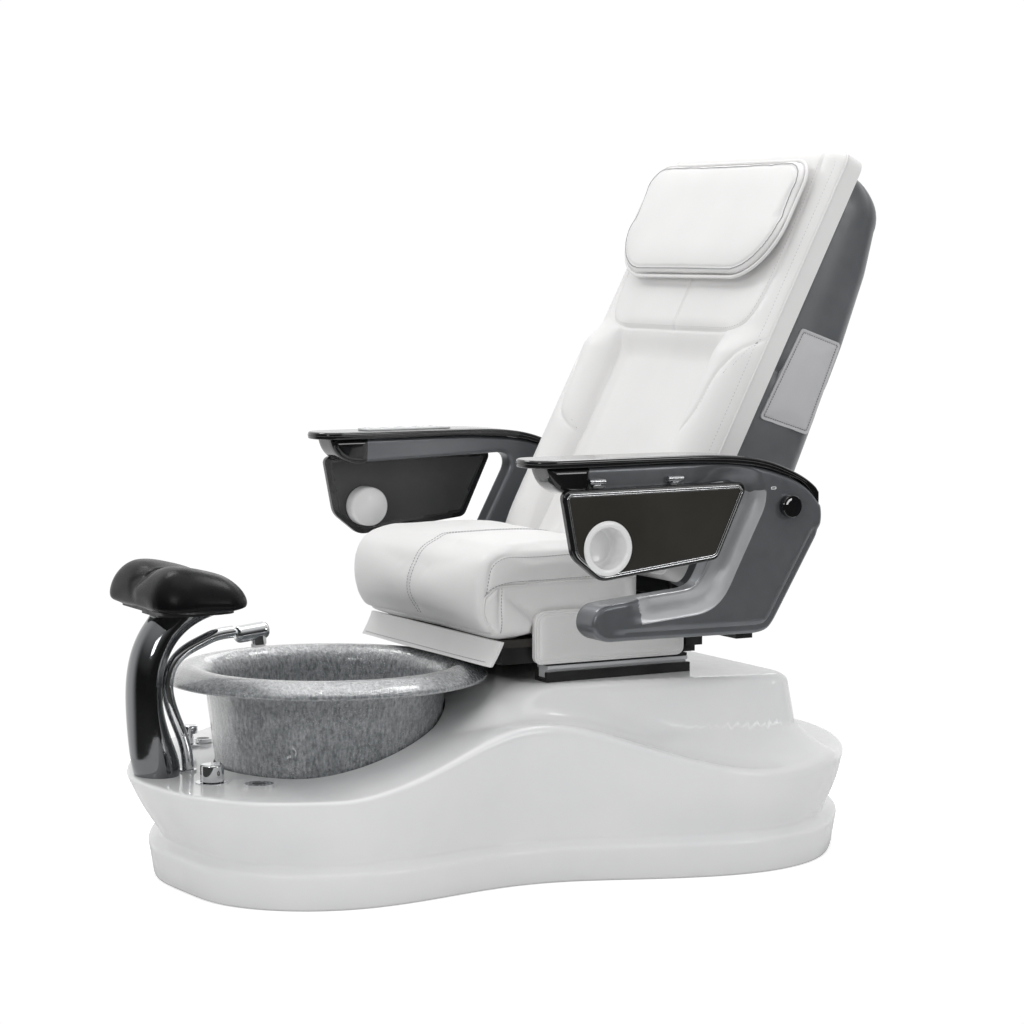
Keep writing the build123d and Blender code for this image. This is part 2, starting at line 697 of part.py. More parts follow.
def back_frame():
    """Ladder frame of the backrest with hinge arms, torque tube and recline lever."""
    body = Part()
    y0, z0 = back_point(40, 120)
    reach = math.hypot(y0 - PIVOT_Y, z0 - PIVOT_Z)
    tilt = math.degrees(math.atan2(y0 - PIVOT_Y, z0 - PIVOT_Z))
    for sx in (-1, 1):
        body += in_back(400, 120, sx * 196) * Box(24, 740, 24)
        arm = Pos(sx * 196, (y0 + PIVOT_Y) / 2, (z0 + PIVOT_Z) / 2) * Rot(-tilt, 0, 0)
        body += arm * Box(12, 34, reach)
    for s in (60, 400, 756):
        body += in_back(s, 124) * Box(370, 24, 14)
    body += Pos(0, PIVOT_Y, PIVOT_Z) * Rot(0, 90, 0) * Cylinder(13, 404)
    body += Pos(0, PIVOT_Y, PIVOT_Z) * Rot(0, 90, 0) * Cylinder(8.0, 458)
    body += Pos(0, PIVOT_Y, PIVOT_Z - LEVER / 2) * Box(16, 14, LEVER)
    body += Pos(0, PIVOT_Y, PIVOT_Z - LEVER) * Rot(0, 90, 0) * Cylinder(7, 16)
    return body


def back_shell():
    """Padded rear cover, open towards the cushion."""
    outer = loft([shell_section(26, 208), shell_section(300, 206), shell_section(560, 190),
                  shell_section(800, 152), shell_section(846, 128)])
    inner = in_back(425, 106) * Box(470, 740, 88)
    notch = in_back(30, 128) * Box(470, 130, 100)
    return outer - inner - notch


def shell_section(s, t_rear):
    """Rounded cross-section of the rear cover at height s, square to the back."""
    a = math.radians(RECLINE)
    t_front = 62.0
    y, z = back_point(s, (t_front + t_rear) / 2)
    plane = Plane(origin=(0, y, z), x_dir=(1, 0, 0), z_dir=(0, math.sin(a), math.cos(a)))
    return plane * RectangleRounded(560, t_rear - t_front, 24)


def back_cushion():
    """Front upholstery of the backrest, a crowned pad with full-length bolsters."""
    core = in_back(448, 32) * Box(2 * BACK_HALF, 864, 56)
    core = fillet(core.edges().filter_by(lambda e: abs(e.length - 56) < 0.5), 26)
    front = in_back(448, -4) * Box(2 * BACK_HALF - 20, 850, 24)
    return core + front


def head_pillow():
    body = in_back(716, -26) * Box(544, 236, 18)
    return fillet(body.edges().filter_by(lambda e: abs(e.length - 18) < 0.5), 60)


def remote_pocket():
    return extrude(Pos(280.4, 0, 0) * pocket_outline(), amount=9, dir=(1, 0, 0))


def pocket_outline():
    with BuildSketch(Plane.YZ) as sk:
        with BuildLine():
            Polyline((500, 966), (586, 936), (515, 768), (408, 803), (500, 966))
        make_face()
    return sk.sketch


def massage_track():
    """Two guide rails and the lead screw, joined by end plates."""
    body = Part()
    for sx in (-1, 1):
        body += in_back(410, 104, sx * 90) * Box(14, 600, 10)
    body += in_back(410, 104) * Rot(90, 0, 0) * Cylinder(6, 600)
    for s in (116, 704):
        body += in_back(s, 104) * Box(220, 12, 20)
    return body


def massage_carriage():
    """Nut block on the screw, shoes on both rails and two ears for the roller shaft."""
    body = in_back(300, 87) * Box(214, 60, 8)
    body += in_back(300, 98) * Box(34, 40, 30)
    for sx in (-1, 1):
        body += in_back(300, 94, sx * 90) * Box(26, 40, 9)
        body += in_back(300, 77, sx * 34) * Box(8, 20, 18)
    body -= in_back(300, 104) * Rot(90, 0, 0) * Cylinder(6.06, 80)
    body -= in_back(300, 75) * Rot(0, 90, 0) * Cylinder(4.12, 120)
    return body


def massage_rollers():
    body = in_back(300, 75) * Rot(0, 90, 0) * Cylinder(4.0, 150)
    for sx in (-1, 1):
        body += in_back(300, 75, sx * 58) * Rot(0, 90, 0) * Cylinder(7.5, 30)
    return body


def recline_actuator():
    body = Pos(0, 152, ACTUATOR_Z) * Rot(90, 0, 0) * Cylinder(14, 110)
    return body - Pos(0, 156, ACTUATOR_Z) * Rot(90, 0, 0) * Cylinder(7.08, 110)


def recline_rod():
    return Pos(0, 203, ACTUATOR_Z) * Rot(90, 0, 0) * Cylinder(7.0, 136)


def left_and_right(name, make):
    return {name + "_left": make(1), name + "_right": make(-1)}


def all_parts():
    parts = {
        "base_shell": base_shell(),
        "base_frame": base_frame(),
        "levelling_feet": levelling_feet(),
        "glass_bowl": glass_bowl(),
        "bowl_cradle": bowl_cradle(),
        "bowl_drain": bowl_drain(),
        "jet_housing": jet_housing(),
        "jet_impeller": jet_impeller(),
        "jet_cover": jet_cover(),
        "drain_pump": drain_pump(),
        "control_box": control_box(),
        "mixer_body": mixer_body(),
        "footrest_column": footrest_column(),
        "footrest_plate": footrest_plate(),
        "footrest_pad": footrest_pad(),
        "spout_pipe": spout_pipe(),
        "spray_head": spray_head(),
        "spray_outlet": spray_outlet(),
        "deck_escutcheons": deck_escutcheons(),
        "mixer_knob": mixer_knob(),
        "diverter_handle": diverter_handle(),
        "button_bezels": button_bezels(),
        "air_button": push_button(0),
        "drain_button": push_button(1),
        "rail_outer": rail_outer(),
        "rail_inner": rail_inner(),
        "slide_actuator": slide_actuator(),
        "seat_frame": seat_frame(),
        "seat_pan": seat_pan(),
        "seat_cushion": seat_cushion(),
        "seat_apron": seat_apron(),
        "arm_keypad": keypad(),
        "arm_brackets": arm_brackets(),
        "back_frame": back_frame(),
        "back_shell": back_shell(),
        "back_cushion": back_cushion(),
        "head_pillow": head_pillow(),
        "remote_pocket": remote_pocket(),
        "massage_track": massage_track(),
        "massage_carriage": massage_carriage(),
        "massage_rollers": massage_rollers(),
        "recline_actuator": recline_actuator(),
        "recline_rod": recline_rod(),
    }
    paired = {
        "seat_skirt": seat_skirt,
        "arm_shell": arm_shell,
        "arm_board": arm_board,
        "arm_knob": arm_knob,
        "tray_panel": tray_panel,
        "cup_holder": cup_holder,
        "tray_hinge_fixed": tray_hinge_fixed,
        "tray_hinge_moving": tray_hinge_moving,
    }
    for name, make in paired.items():
        parts.update(left_and_right(name, make))
    return parts


def centred(parts):
    """Move the finished chair so that its origin is under the middle of its footprint."""
    low = min(shape.bounding_box().min.Y for shape in parts.values())
    high = max(shape.bounding_box().max.Y for shape in parts.values())
    return {name: Pos(0, -(low + high) / 2, 0) * shape for name, shape in parts.items()}


for node, shape in centred(all_parts()).items():
    export_step(shape, os.path.join("parts", node + ".step"))
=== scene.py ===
import math

import bpy
import numpy as np
from mathutils import Matrix, Vector, noise
from mathutils.bvhtree import BVHTree
from mathutils.geometry import delaunay_2d_cdt
from mathutils.kdtree import KDTree


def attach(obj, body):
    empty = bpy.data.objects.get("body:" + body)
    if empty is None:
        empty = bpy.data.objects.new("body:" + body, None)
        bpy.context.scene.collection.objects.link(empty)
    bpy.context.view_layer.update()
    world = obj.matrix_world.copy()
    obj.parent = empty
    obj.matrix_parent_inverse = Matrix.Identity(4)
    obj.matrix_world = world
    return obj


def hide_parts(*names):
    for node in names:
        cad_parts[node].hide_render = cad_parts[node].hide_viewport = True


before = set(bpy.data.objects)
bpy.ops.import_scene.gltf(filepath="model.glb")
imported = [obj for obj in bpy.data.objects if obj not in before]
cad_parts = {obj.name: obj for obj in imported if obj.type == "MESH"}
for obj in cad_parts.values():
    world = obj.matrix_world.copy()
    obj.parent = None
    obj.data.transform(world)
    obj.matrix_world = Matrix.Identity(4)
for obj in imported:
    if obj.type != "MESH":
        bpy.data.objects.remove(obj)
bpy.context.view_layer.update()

# The chair's own dimensions, in metres: +Z up, it faces -Y, the sitter's left is +X.
MID = 0.006503         # the design's y = 0 lies this far along Y in the row frame
RECLINE = math.radians(27.4)
BACK_Y, BACK_Z = 0.1732, 0.520


def P(x, y, z):
    return Vector((x, y + MID, z))


def back(x, s, t):
    """A point of the backrest: x across, s up along it, t rearwards from its front surface."""
    return P(x, BACK_Y + s * math.sin(RECLINE) + t * math.cos(RECLINE),
             BACK_Z + s * math.cos(RECLINE) - t * math.sin(RECLINE))


# ---- camera, floor and light ------------------------------------------------------------
def add_camera():
    data = bpy.data.cameras.new("camera")
    data.sensor_width = 36.0
    data.lens = 104.06
    data.clip_end = 100.0
    cam = bpy.data.objects.new("camera", data)
    bpy.context.scene.collection.objects.link(cam)
    forward = Vector((-0.87543, 0.47500, -0.08950)).normalized()
    right = forward.cross(Vector((0, 0, 1))).normalized()
    up = right.cross(forward)
    turn = Matrix((right, up, -forward)).transposed()
    cam.matrix_world = Matrix.Translation(P(4.8209, -2.5633, 1.116)) @ turn.to_4x4()
    bpy.context.scene.camera = cam


def soft_box(name, place, aim, size, power):
    data = bpy.data.lights.new(name, "AREA")
    data.shape = "RECTANGLE"
    data.size, data.size_y = size
    data.energy = power
    lamp = bpy.data.objects.new(name, data)
    bpy.context.scene.collection.objects.link(lamp)
    look = (Vector(aim) - Vector(place)).normalized()
    lamp.matrix_world = Matrix.Translation(place) @ look.to_track_quat("-Z", "Y").to_matrix().to_4x4()


def add_world():
    world = bpy.data.worlds.new("studio")
    bpy.context.scene.world = world
    world.use_nodes = True
    tree = world.node_tree
    tree.nodes.clear()
    coord = tree.nodes.new("ShaderNodeTexCoord")
    split = tree.nodes.new("ShaderNodeSeparateXYZ")
    tree.links.new(coord.outputs["Generated"], split.inputs[0])
    path = tree.nodes.new("ShaderNodeLightPath")

    def ramp(stops):
        node = tree.nodes.new("ShaderNodeValToRGB")
        points = node.color_ramp.elements
        while len(points) < len(stops):
            points.new(0.5)
        for point, (at, grey) in zip(points, stops):
            point.position = at
            point.color = (grey, grey, grey, 1)
        raise_up = tree.nodes.new("ShaderNodeMapRange")
        raise_up.inputs["From Min"].default_value = -1.0
        tree.links.new(split.outputs["Z"], raise_up.inputs["Value"])
        tree.links.new(raise_up.outputs[0], node.inputs[0])
        shade = tree.nodes.new("ShaderNodeBackground")
        tree.links.new(node.outputs[0], shade.inputs["Color"])
        return shade

    fill = ramp([(0.0, 0.50), (0.5, 0.66), (0.75, 0.58), (1.0, 0.64)])
    dark = ramp([(0.0, 0.16), (0.46, 0.03), (0.55, 0.03), (0.66, 0.14), (0.80, 0.55), (1.0, 0.80)])
    bright = ramp([(0.0, 0.80), (0.5, 0.92), (1.0, 0.85)])
    # the studio is dark on one side of the chair and has a white sweep behind it
    facing = tree.nodes.new("ShaderNodeVectorMath")
    facing.operation = "DOT_PRODUCT"
    facing.inputs[1].default_value = (-0.879, 0.477, 0.0)
    tree.links.new(coord.outputs["Generated"], facing.inputs[0])
    sweep = tree.nodes.new("ShaderNodeMapRange")
    sweep.interpolation_type = "SMOOTHSTEP"
    sweep.inputs["From Min"].default_value = -0.05
    sweep.inputs["From Max"].default_value = 0.45
    tree.links.new(facing.outputs["Value"], sweep.inputs["Value"])
    mirror = tree.nodes.new("ShaderNodeMixShader")
    tree.links.new(sweep.outputs[0], mirror.inputs[0])
    tree.links.new(dark.outputs[0], mirror.inputs[1])
    tree.links.new(bright.outputs[0], mirror.inputs[2])
    plain = tree.nodes.new("ShaderNodeBackground")
    plain.inputs["Color"].default_value = (1, 1, 1, 1)
    plain.inputs["Strength"].default_value = 1.02
    mix_gloss = tree.nodes.new("ShaderNodeMixShader")
    tree.links.new(path.outputs["Is Glossy Ray"], mix_gloss.inputs[0])
    tree.links.new(fill.outputs[0], mix_gloss.inputs[1])
    tree.links.new(mirror.outputs[0], mix_gloss.inputs[2])
    mix_seen = tree.nodes.new("ShaderNodeMixShader")
    tree.links.new(path.outputs["Is Camera Ray"], mix_seen.inputs[0])
    tree.links.new(mix_gloss.outputs[0], mix_seen.inputs[1])
    tree.links.new(plain.outputs[0], mix_seen.inputs[2])
    out = tree.nodes.new("ShaderNodeOutputWorld")
    tree.links.new(mix_seen.outputs[0], out.inputs[0])


def add_floor():
    mesh = bpy.data.meshes.new("floor")
    r, sides = 1.25, 96
    spots = [(r * math.cos(2 * math.pi * k / sides), r * math.sin(2 * math.pi * k / sides), 0) for k in range(sides)]
    mesh.from_pydata(spots, [], [tuple(range(sides))])
    floor = bpy.data.objects.new("floor", mesh)
    bpy.context.scene.collection.objects.link(floor)
    mat = bpy.data.materials.new("floor_paper")
    mat.use_nodes = True
    bsdf = mat.node_tree.nodes["Principled BSDF"]
    bsdf.inputs["Base Color"].default_value = (0.93, 0.93, 0.93, 1)
    bsdf.inputs["Roughness"].default_value = 0.9
    bsdf.inputs["Specular IOR Level"].default_value = 0.0
    bsdf.inputs["Emission Color"].default_value = (1, 1, 1, 1)
    bsdf.inputs["Emission Strength"].default_value = 0.45
    # the paper looks white, and throws back less light than it shows
    tree = mat.node_tree
    path = tree.nodes.new("ShaderNodeLightPath")
    dim = tree.nodes.new("ShaderNodeBsdfDiffuse")
    dim.inputs["Color"].default_value = (0.76, 0.76, 0.76, 1)
    mix = tree.nodes.new("ShaderNodeMixShader")
    tree.links.new(path.outputs["Is Camera Ray"], mix.inputs[0])
    tree.links.new(dim.outputs[0], mix.inputs[1])
    tree.links.new(bsdf.outputs[0], mix.inputs[2])
    tree.links.new(mix.outputs[0], tree.nodes["Material Output"].inputs["Surface"])
    mesh.materials.append(mat)


add_camera()
add_world()
add_floor()
soft_box("top_light", (0.3, -0.4, 3.4), (0, -0.1, 0.3), (2.6, 2.6), 21)
soft_box("far_left_light", (-1.62, -0.86, 2.76), (0.13, -0.58, 0.36), (0.75, 0.60), 13)
soft_box("far_right_light", (-0.35, 1.14, 2.76), (0.28, -0.32, 0.36), (0.70, 0.60), 12)
soft_box("key_light", (3.0, -4.4, 2.6), (0, -0.2, 0.6), (1.5, 1.1), 38)
soft_box("side_light", (4.6, 2.4, 2.2), (0, 0.2, 0.6), (1.2, 1.4), 24)
soft_box("rear_light", (-3.6, 2.6, 2.6), (0, 0.2, 0.6), (2.0, 1.4), 14)
scene = bpy.context.scene
scene.view_settings.view_transform = "Standard"
scene.view_settings.look = "None"


# ---- materials --------------------------------------------------------------------------
class Finish:
    """A Principled material with small procedural layers over the object's own coordinates."""

    def __init__(self, name, colour, rough, metallic=0.0, **sockets):
        self.mat = bpy.data.materials.new(name)
        self.mat.use_nodes = True
        self.tree = self.mat.node_tree
        self.bsdf = self.tree.nodes["Principled BSDF"]
        self.bsdf.inputs["Base Color"].default_value = (*colour, 1)
        self.bsdf.inputs["Roughness"].default_value = rough
        self.bsdf.inputs["Metallic"].default_value = metallic
        for key, value in sockets.items():
            self.bsdf.inputs[key.replace("_", " ")].default_value = value
        self.where = self.tree.nodes.new("ShaderNodeTexCoord").outputs["Object"]
        self.height = None

    def stretched(self, scale):
        node = self.tree.nodes.new("ShaderNodeMapping")
        node.inputs["Scale"].default_value = scale
        self.tree.links.new(self.where, node.inputs["Vector"])
        return node.outputs[0]

    def noise(self, scale, detail=3.0, rough=0.5, vector=None):
        node = self.tree.nodes.new("ShaderNodeTexNoise")
        node.inputs["Scale"].default_value = scale
        node.inputs["Detail"].default_value = detail
        node.inputs["Roughness"].default_value = rough
        self.tree.links.new(vector or self.where, node.inputs["Vector"])
        return node.outputs["Fac"]

    def cells(self, scale, feature="F1", smooth=None, vector=None):
        node = self.tree.nodes.new("ShaderNodeTexVoronoi")
        node.feature = feature
        node.inputs["Scale"].default_value = scale
        self.tree.links.new(vector or self.where, node.inputs["Vector"])
        return node.outputs["Distance"]

    def ramp(self, value, low, high, at=(0.35, 0.65)):
        node = self.tree.nodes.new("ShaderNodeMapRange")
        node.inputs["From Min"].default_value = at[0]
        node.inputs["From Max"].default_value = at[1]
        node.inputs["To Min"].default_value = low
        node.inputs["To Max"].default_value = high
        self.tree.links.new(value, node.inputs["Value"])
        return node.outputs[0]

    def maths(self, kind, a, b):
        node = self.tree.nodes.new("ShaderNodeMath")
        node.operation = kind
        for slot, value in zip(node.inputs, (a, b)):
            if isinstance(value, (int, float)):
                slot.default_value = value
            else:
                self.tree.links.new(value, slot)
        return node.outputs[0]

    def tint(self, value, first, second, at=(0.35, 0.65)):
        """Base colour that drifts from first to second with value."""
        node = self.tree.nodes.new("ShaderNodeValToRGB")
        node.color_ramp.elements[0].position = at[0]
        node.color_ramp.elements[0].color = (*first, 1)
        node.color_ramp.elements[1].position = at[1]
        node.color_ramp.elements[1].color = (*second, 1)
        self.tree.links.new(value, node.inputs[0])
        self.tree.links.new(node.outputs[0], self.bsdf.inputs["Base Color"])
        return self

    def rough(self, value, low, high, at=(0.35, 0.65)):
        self.tree.links.new(self.ramp(value, low, high, at), self.bsdf.inputs["Roughness"])
        return self

    def bump(self, value, strength, distance):
        node = self.tree.nodes.new("ShaderNodeBump")
        node.inputs["Strength"].default_value = strength
        node.inputs["Distance"].default_value = distance
        self.tree.links.new(value, node.inputs["Height"])
        if self.height is not None:
            self.tree.links.new(self.height, node.inputs["Normal"])
        self.height = node.outputs[0]
        self.tree.links.new(self.height, self.bsdf.inputs["Normal"])
        return self


def leather(name, first, second, rough, grain, coat=0.0, shine=0.5):
    """Embossed synthetic leather: pebbled cells, fine pores, slow colour drift."""
    f = Finish(name, first, rough[0], Coat_Weight=coat, Coat_Roughness=0.3, Specular_IOR_Level=shine)
    f.tint(f.noise(5.0, 4.0), first, second)
    f.rough(f.noise(40.0, 3.0), rough[0], rough[1])
    cell = f.cells(grain, "SMOOTH_F1")
    f.bump(cell, 0.22, 0.0006)
    f.bump(f.noise(grain * 3.2, 2.0), 0.12, 0.0002)
    f.bump(f.noise(9.0, 2.0), 0.30, 0.004)
    return f.mat


def plastic(name, first, second, rough, orange=0.05, coat=0.0, flake=0.0, shine=0.5):
    """Moulded plastic: faint colour drift, uneven gloss and moulding ripple."""
    f = Finish(name, first, rough[0], flake, Coat_Weight=coat, Coat_Roughness=0.04, Specular_IOR_Level=shine)
    f.tint(f.noise(7.0, 3.0), first, second)
    f.rough(f.noise(55.0, 4.0), rough[0], rough[1])
    f.bump(f.noise(420.0, 2.0), orange, 0.0003)
    f.bump(f.noise(6.0, 1.0), orange, 0.0008)
    return f.mat


def metal(name, colour, rough, brushed=None):
    f = Finish(name, colour, rough[0], 1.0)
    f.rough(f.noise(90.0, 4.0), rough[0], rough[1])
    if brushed:
        f.bump(f.noise(1.0, 2.0, vector=f.stretched(brushed)), 0.10, 0.0004)
    else:
        f.bump(f.noise(11.0, 1.0), 0.03, 0.002)
    return f.mat


def bubbled_glass():
    """Cast grey resin glass under a clear smooth coat: crinkled, full of bright bubbles, with painted glints in its
    colour.
    """
    f = Finish("bowl_glass", (0.30, 0.33, 0.35), 0.08, IOR=1.46, Transmission_Weight=0.30,
               Coat_Weight=0.8, Coat_Roughness=0.012)
    streaks = f.noise(1.0, 4.0, 0.6, f.stretched((210, 210, 60)))
    clumps = f.noise(150.0, 3.0, 0.6)
    speck = f.cells(210.0)
    fleck = f.cells(520.0)
    cloud = f.noise(11.0, 3.0)
    bubbles = f.ramp(speck, 1.0, 0.0, (0.05, 0.30))
    # the finer bright flecks in the base colour are painted glints; the coarser specks are the bubbles
    glints = f.ramp(fleck, 1.0, 0.0, (0.05, 0.30))
    patchy = f.ramp(cloud, 0.25, 1.0, (0.40, 0.62))
    bright = f.maths("MULTIPLY", f.maths("ADD", bubbles, glints), patchy)
    relief = f.maths("ADD", f.maths("MULTIPLY", streaks, 0.6), f.maths("MULTIPLY", clumps, 0.4))
    body = f.maths("ADD", f.maths("MULTIPLY", f.ramp(relief, 0.0, 1.0, (0.36, 0.64)), 0.42),
                   f.maths("MULTIPLY", bright, 0.52))
    f.tint(body, (0.130, 0.142, 0.153), (0.90, 0.93, 0.95), (0.06, 0.88))
    f.rough(relief, 0.05, 0.20)
    f.bump(relief, 0.8, 0.004)
    f.bump(bright, 0.6, 0.004)
    return f.mat


MATS = {
    "gelcoat": plastic("gelcoat", (0.84, 0.845, 0.85), (0.87, 0.87, 0.87), (0.12, 0.18), 0.008, 0.22, 0.0, 0.28),
    "white_leather": leather("white_leather", (0.80, 0.795, 0.79), (0.84, 0.835, 0.83), (0.42, 0.55), 520.0),
    "black_leather": leather("black_leather", (0.003, 0.003, 0.0035), (0.006, 0.006, 0.007), (0.26, 0.34), 520.0, 0.10, 0.08),
    "grey_leather": leather("grey_leather", (0.105, 0.112, 0.120), (0.135, 0.143, 0.152), (0.30, 0.40), 480.0, 0.2, 0.7),
    "pocket_grey": leather("pocket_grey", (0.52, 0.52, 0.535), (0.57, 0.57, 0.585), (0.5, 0.62), 620.0),
    "chrome": metal("chrome", (0.86, 0.87, 0.88), (0.03, 0.07)),
    # chrome with its colour darkened: painted dark reflection for the footrest column
    "chrome_painted_dark": metal("chrome_painted_dark", (0.21, 0.215, 0.222), (0.05, 0.10)),
    "steel": metal("steel", (0.62, 0.63, 0.64), (0.22, 0.34), (900, 30, 900)),
    "brass": metal("brass", (0.70, 0.52, 0.24), (0.22, 0.34)),
    "gloss_black": plastic("gloss_black", (0.006, 0.006, 0.007), (0.010, 0.010, 0.011), (0.07, 0.13), 0.02, 0.5),
    "graphite": plastic("graphite", (0.165, 0.174, 0.186), (0.190, 0.199, 0.211), (0.30, 0.37), 0.02, 0.1, 0.55),
    # a lighter copy of graphite: painted highlight for the arm's scoop, which faces the light
    "graphite_painted_highlight": plastic("graphite_painted_highlight", (0.52, 0.53, 0.545), (0.57, 0.58, 0.595), (0.28, 0.35), 0.02, 0.1, 0.45),
    "black_steel": plastic("black_steel", (0.012, 0.012, 0.012), (0.022, 0.022, 0.022), (0.32, 0.5), 0.14),
    "tray_face": plastic("tray_face", (0.034, 0.032, 0.028), (0.042, 0.040, 0.035), (0.10, 0.16), 0.02, 0.4),
    "cup_white": plastic("cup_white", (0.86, 0.86, 0.86), (0.90, 0.90, 0.90), (0.16, 0.26), 0.03, 0.4),
    "silver": plastic("silver", (0.55, 0.56, 0.57), (0.60, 0.61, 0.62), (0.3, 0.42), 0.05),
    "white_plastic": plastic("white_plastic", (0.80, 0.80, 0.80), (0.86, 0.86, 0.86), (0.25, 0.4), 0.05),
    "dark_plastic": plastic("dark_plastic", (0.05, 0.05, 0.052), (0.07, 0.07, 0.072), (0.35, 0.5), 0.10),
    "rubber": plastic("rubber", (0.018, 0.018, 0.018), (0.03, 0.03, 0.03), (0.6, 0.8), 0.20),
    # near-black ply under the seat: a dark board, and also painted shade standing in for the shadowed gap there
    "plywood": plastic("plywood", (0.030, 0.026, 0.022), (0.046, 0.040, 0.034), (0.55, 0.75), 0.15),
    "thread": plastic("thread", (0.30, 0.30, 0.31), (0.38, 0.38, 0.39), (0.6, 0.8), 0.10),
    "dark_thread": plastic("dark_thread", (0.12, 0.12, 0.13), (0.16, 0.16, 0.17), (0.6, 0.8), 0.10),
    "bowl_glass": bubbled_glass(),
}


# ---- mesh tools -------------------------------------------------------------------------
def new_piece(name, verts, faces, mats, body, slot, sharp=38.0, index=None):
    """A finished mesh piece, smooth except at edges sharper than the angle, riding on its body."""
    mesh = bpy.data.meshes.new(name)
    mesh.from_pydata([tuple(v) for v in verts], [], [tuple(int(i) for i in f) for f in faces])
    mesh.validate()
    mesh.polygons.foreach_set("use_smooth", [True] * len(mesh.polygons))
    if sharp is not None:
        mesh.set_sharp_from_angle(angle=math.radians(sharp))
    piece = bpy.data.objects.new(name, mesh)
    bpy.context.scene.collection.objects.link(piece)
    for key in ([mats] if isinstance(mats, str) else mats):
        mesh.materials.append(MATS[key])
    if index is not None:
        mesh.polygons.foreach_set("material_index", index)
    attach(piece, body)
    return piece


def spline(points, per, closed=False):
    """The cubic spline through the points, per steps from each to the next."""
    pts = np.array(points, float)
    n = len(pts)
    ends = n if closed else n - 1
    step = np.array([max(1e-9, np.linalg.norm(pts[(i + 1) % n] - pts[i])) for i in range(ends)])
    a = np.zeros((n, n))
    b = np.zeros_like(pts)
    for i in range(n):
        if not closed and i in (0, n - 1):
            a[i, i] = 1.0
            continue
        before, after = step[i - 1], step[i]
        a[i, i - 1] += before / 6
        a[i, i] += (before + after) / 3
        a[i, (i + 1) % n] += after / 6
        b[i] = (pts[(i + 1) % n] - pts[i]) / after - (pts[i] - pts[i - 1]) / before
    bend = np.linalg.solve(a, b)
    out = []
    for i in range(ends):
        j = (i + 1) % n
        h = step[i]
        for f in np.arange(per) / per:
            t = f * h
            out.append((bend[i] * (h - t) ** 3 + bend[j] * t ** 3) / (6 * h)
                       + (pts[i] / h - bend[i] * h / 6) * (h - t) + (pts[j] / h - bend[j] * h / 6) * t)
    if not closed:
        out.append(pts[-1])
    return np.array(out)


def even(points, gap, closed=False):
    """The polyline's points at an even spacing of about gap."""
    pts = np.array(points, float)
    if closed:
        pts = np.vstack([pts, pts[:1]])
    run = np.concatenate([[0], np.cumsum(np.linalg.norm(np.diff(pts, axis=0), axis=1))])
    count = max(2, int(round(run[-1] / gap)))
    at = np.linspace(0, run[-1], count + 1)
    out = np.stack([np.interp(at, run, pts[:, k]) for k in range(pts.shape[1])], axis=1)
    return out[:-1] if closed else out


def rounded(corners, gap=0.006):
    """A closed outline from (u, v, radius) corners."""
    out = []
    n = len(corners)
    for i, (u, v, r) in enumerate(corners):
        here = np.array((u, v))
        before = np.array(corners[i - 1][:2]) - here
        after = np.array(corners[(i + 1) % n][:2]) - here
        lb, la = np.linalg.norm(before), np.linalg.norm(after)
        before, after = before / lb, after / la
        half = math.acos(max(-1, min(1, float(before @ after)))) / 2
        cut = min(r / math.tan(half), 0.48 * lb, 0.48 * la)
        start, end = here + before * cut, here + after * cut
        steps = max(2, int(r * (math.pi - 2 * half) / gap) + 2)
        for k in range(steps + 1):
            f = k / steps
            # a circle's arc is close to this blend of the two tangents
            w = math.tan(half) if half > 0.2 else 1.0
            weight = math.sin(half)
            p0, p1, p2 = (1 - f) ** 2, 2 * f * (1 - f) * weight, f ** 2
            out.append((p0 * start + p1 * here + p2 * end) / (p0 + p1 + p2))
    return even(np.array(out), gap, closed=True)


def inside(points, loop):
    """Which points lie inside a closed outline."""
    x, y = points[:, 0], points[:, 1]
    hit = np.zeros(len(points), bool)
    for (x0, y0), (x1, y1) in zip(loop, np.roll(loop, -1, axis=0)):
        if y0 == y1:
            continue
        crossing = (y0 > y) != (y1 > y)
        hit ^= crossing & (x < (x1 - x0) * (y - y0) / (y1 - y0) + x0)
    return hit


def reach(points, line, closed=False):
    """Distance from each 2D point to a polyline."""
    line = np.array(line, float)
    a = line if closed else line[:-1]
    b = np.roll(line, -1, axis=0) if closed else line[1:]
    best = np.full(len(points), 1e9)
    for p, q in zip(a, b):
        d = q - p
        t = np.clip(((points - p) @ d) / max(d @ d, 1e-12), 0, 1)
        best = np.minimum(best, np.linalg.norm(points - p - t[:, None] * d, axis=1))
    return best


def outward(loop):
    """Unit normals that point out of a closed outline given anticlockwise."""
    d = np.roll(loop, -1, axis=0) - np.roll(loop, 1, axis=0)
    n = np.stack([d[:, 1], -d[:, 0]], axis=1)
    return n / np.maximum(np.linalg.norm(n, axis=1, keepdims=True), 1e-9)


def shrunk(loop, off, gap=0.005):
    """The outline moved inwards, with the parts that would cross left out."""
    ring = loop - outward(loop) * off
    ring = ring[reach(ring, loop, True) > off * 0.985]
    return even(ring, gap, True)


def anticlockwise(loop):
    x, y = loop[:, 0], loop[:, 1]
    area = np.sum(x * np.roll(y, -1) - np.roll(x, -1) * y)
    return loop if area > 0 else loop[::-1]


def triangles(points, loops):
    """Delaunay triangles of the points that lie inside loops[0] and outside the others.
    The loops' own points come first in points, in order."""
    edges = []
    start = 0
    for loop in loops:
        n = len(loop)
        edges += [(start + i, start + (i + 1) % n) for i in range(n)]
        start += n
    result = delaunay_2d_cdt([Vector(p) for p in points], edges, [], 0, 1e-7)
    verts = np.array([tuple(v) for v in result[0]])
    if len(verts) != len(points):
        raise RuntimeError("two points of a patch coincide")
    order = [found[0] for found in result[3]]
    faces = np.array([[order[i] for i in f] for f in result[2]])
    middle = points[faces].mean(axis=1)
    keep = inside(middle, loops[0])
    for hole in loops[1:]:
        keep &= ~inside(middle, hole)
    faces = faces[keep]
    p = points[faces]
    turn = np.cross(p[:, 1] - p[:, 0], p[:, 2] - p[:, 0])
    faces[turn < 0] = faces[turn < 0][:, ::-1]
    return faces


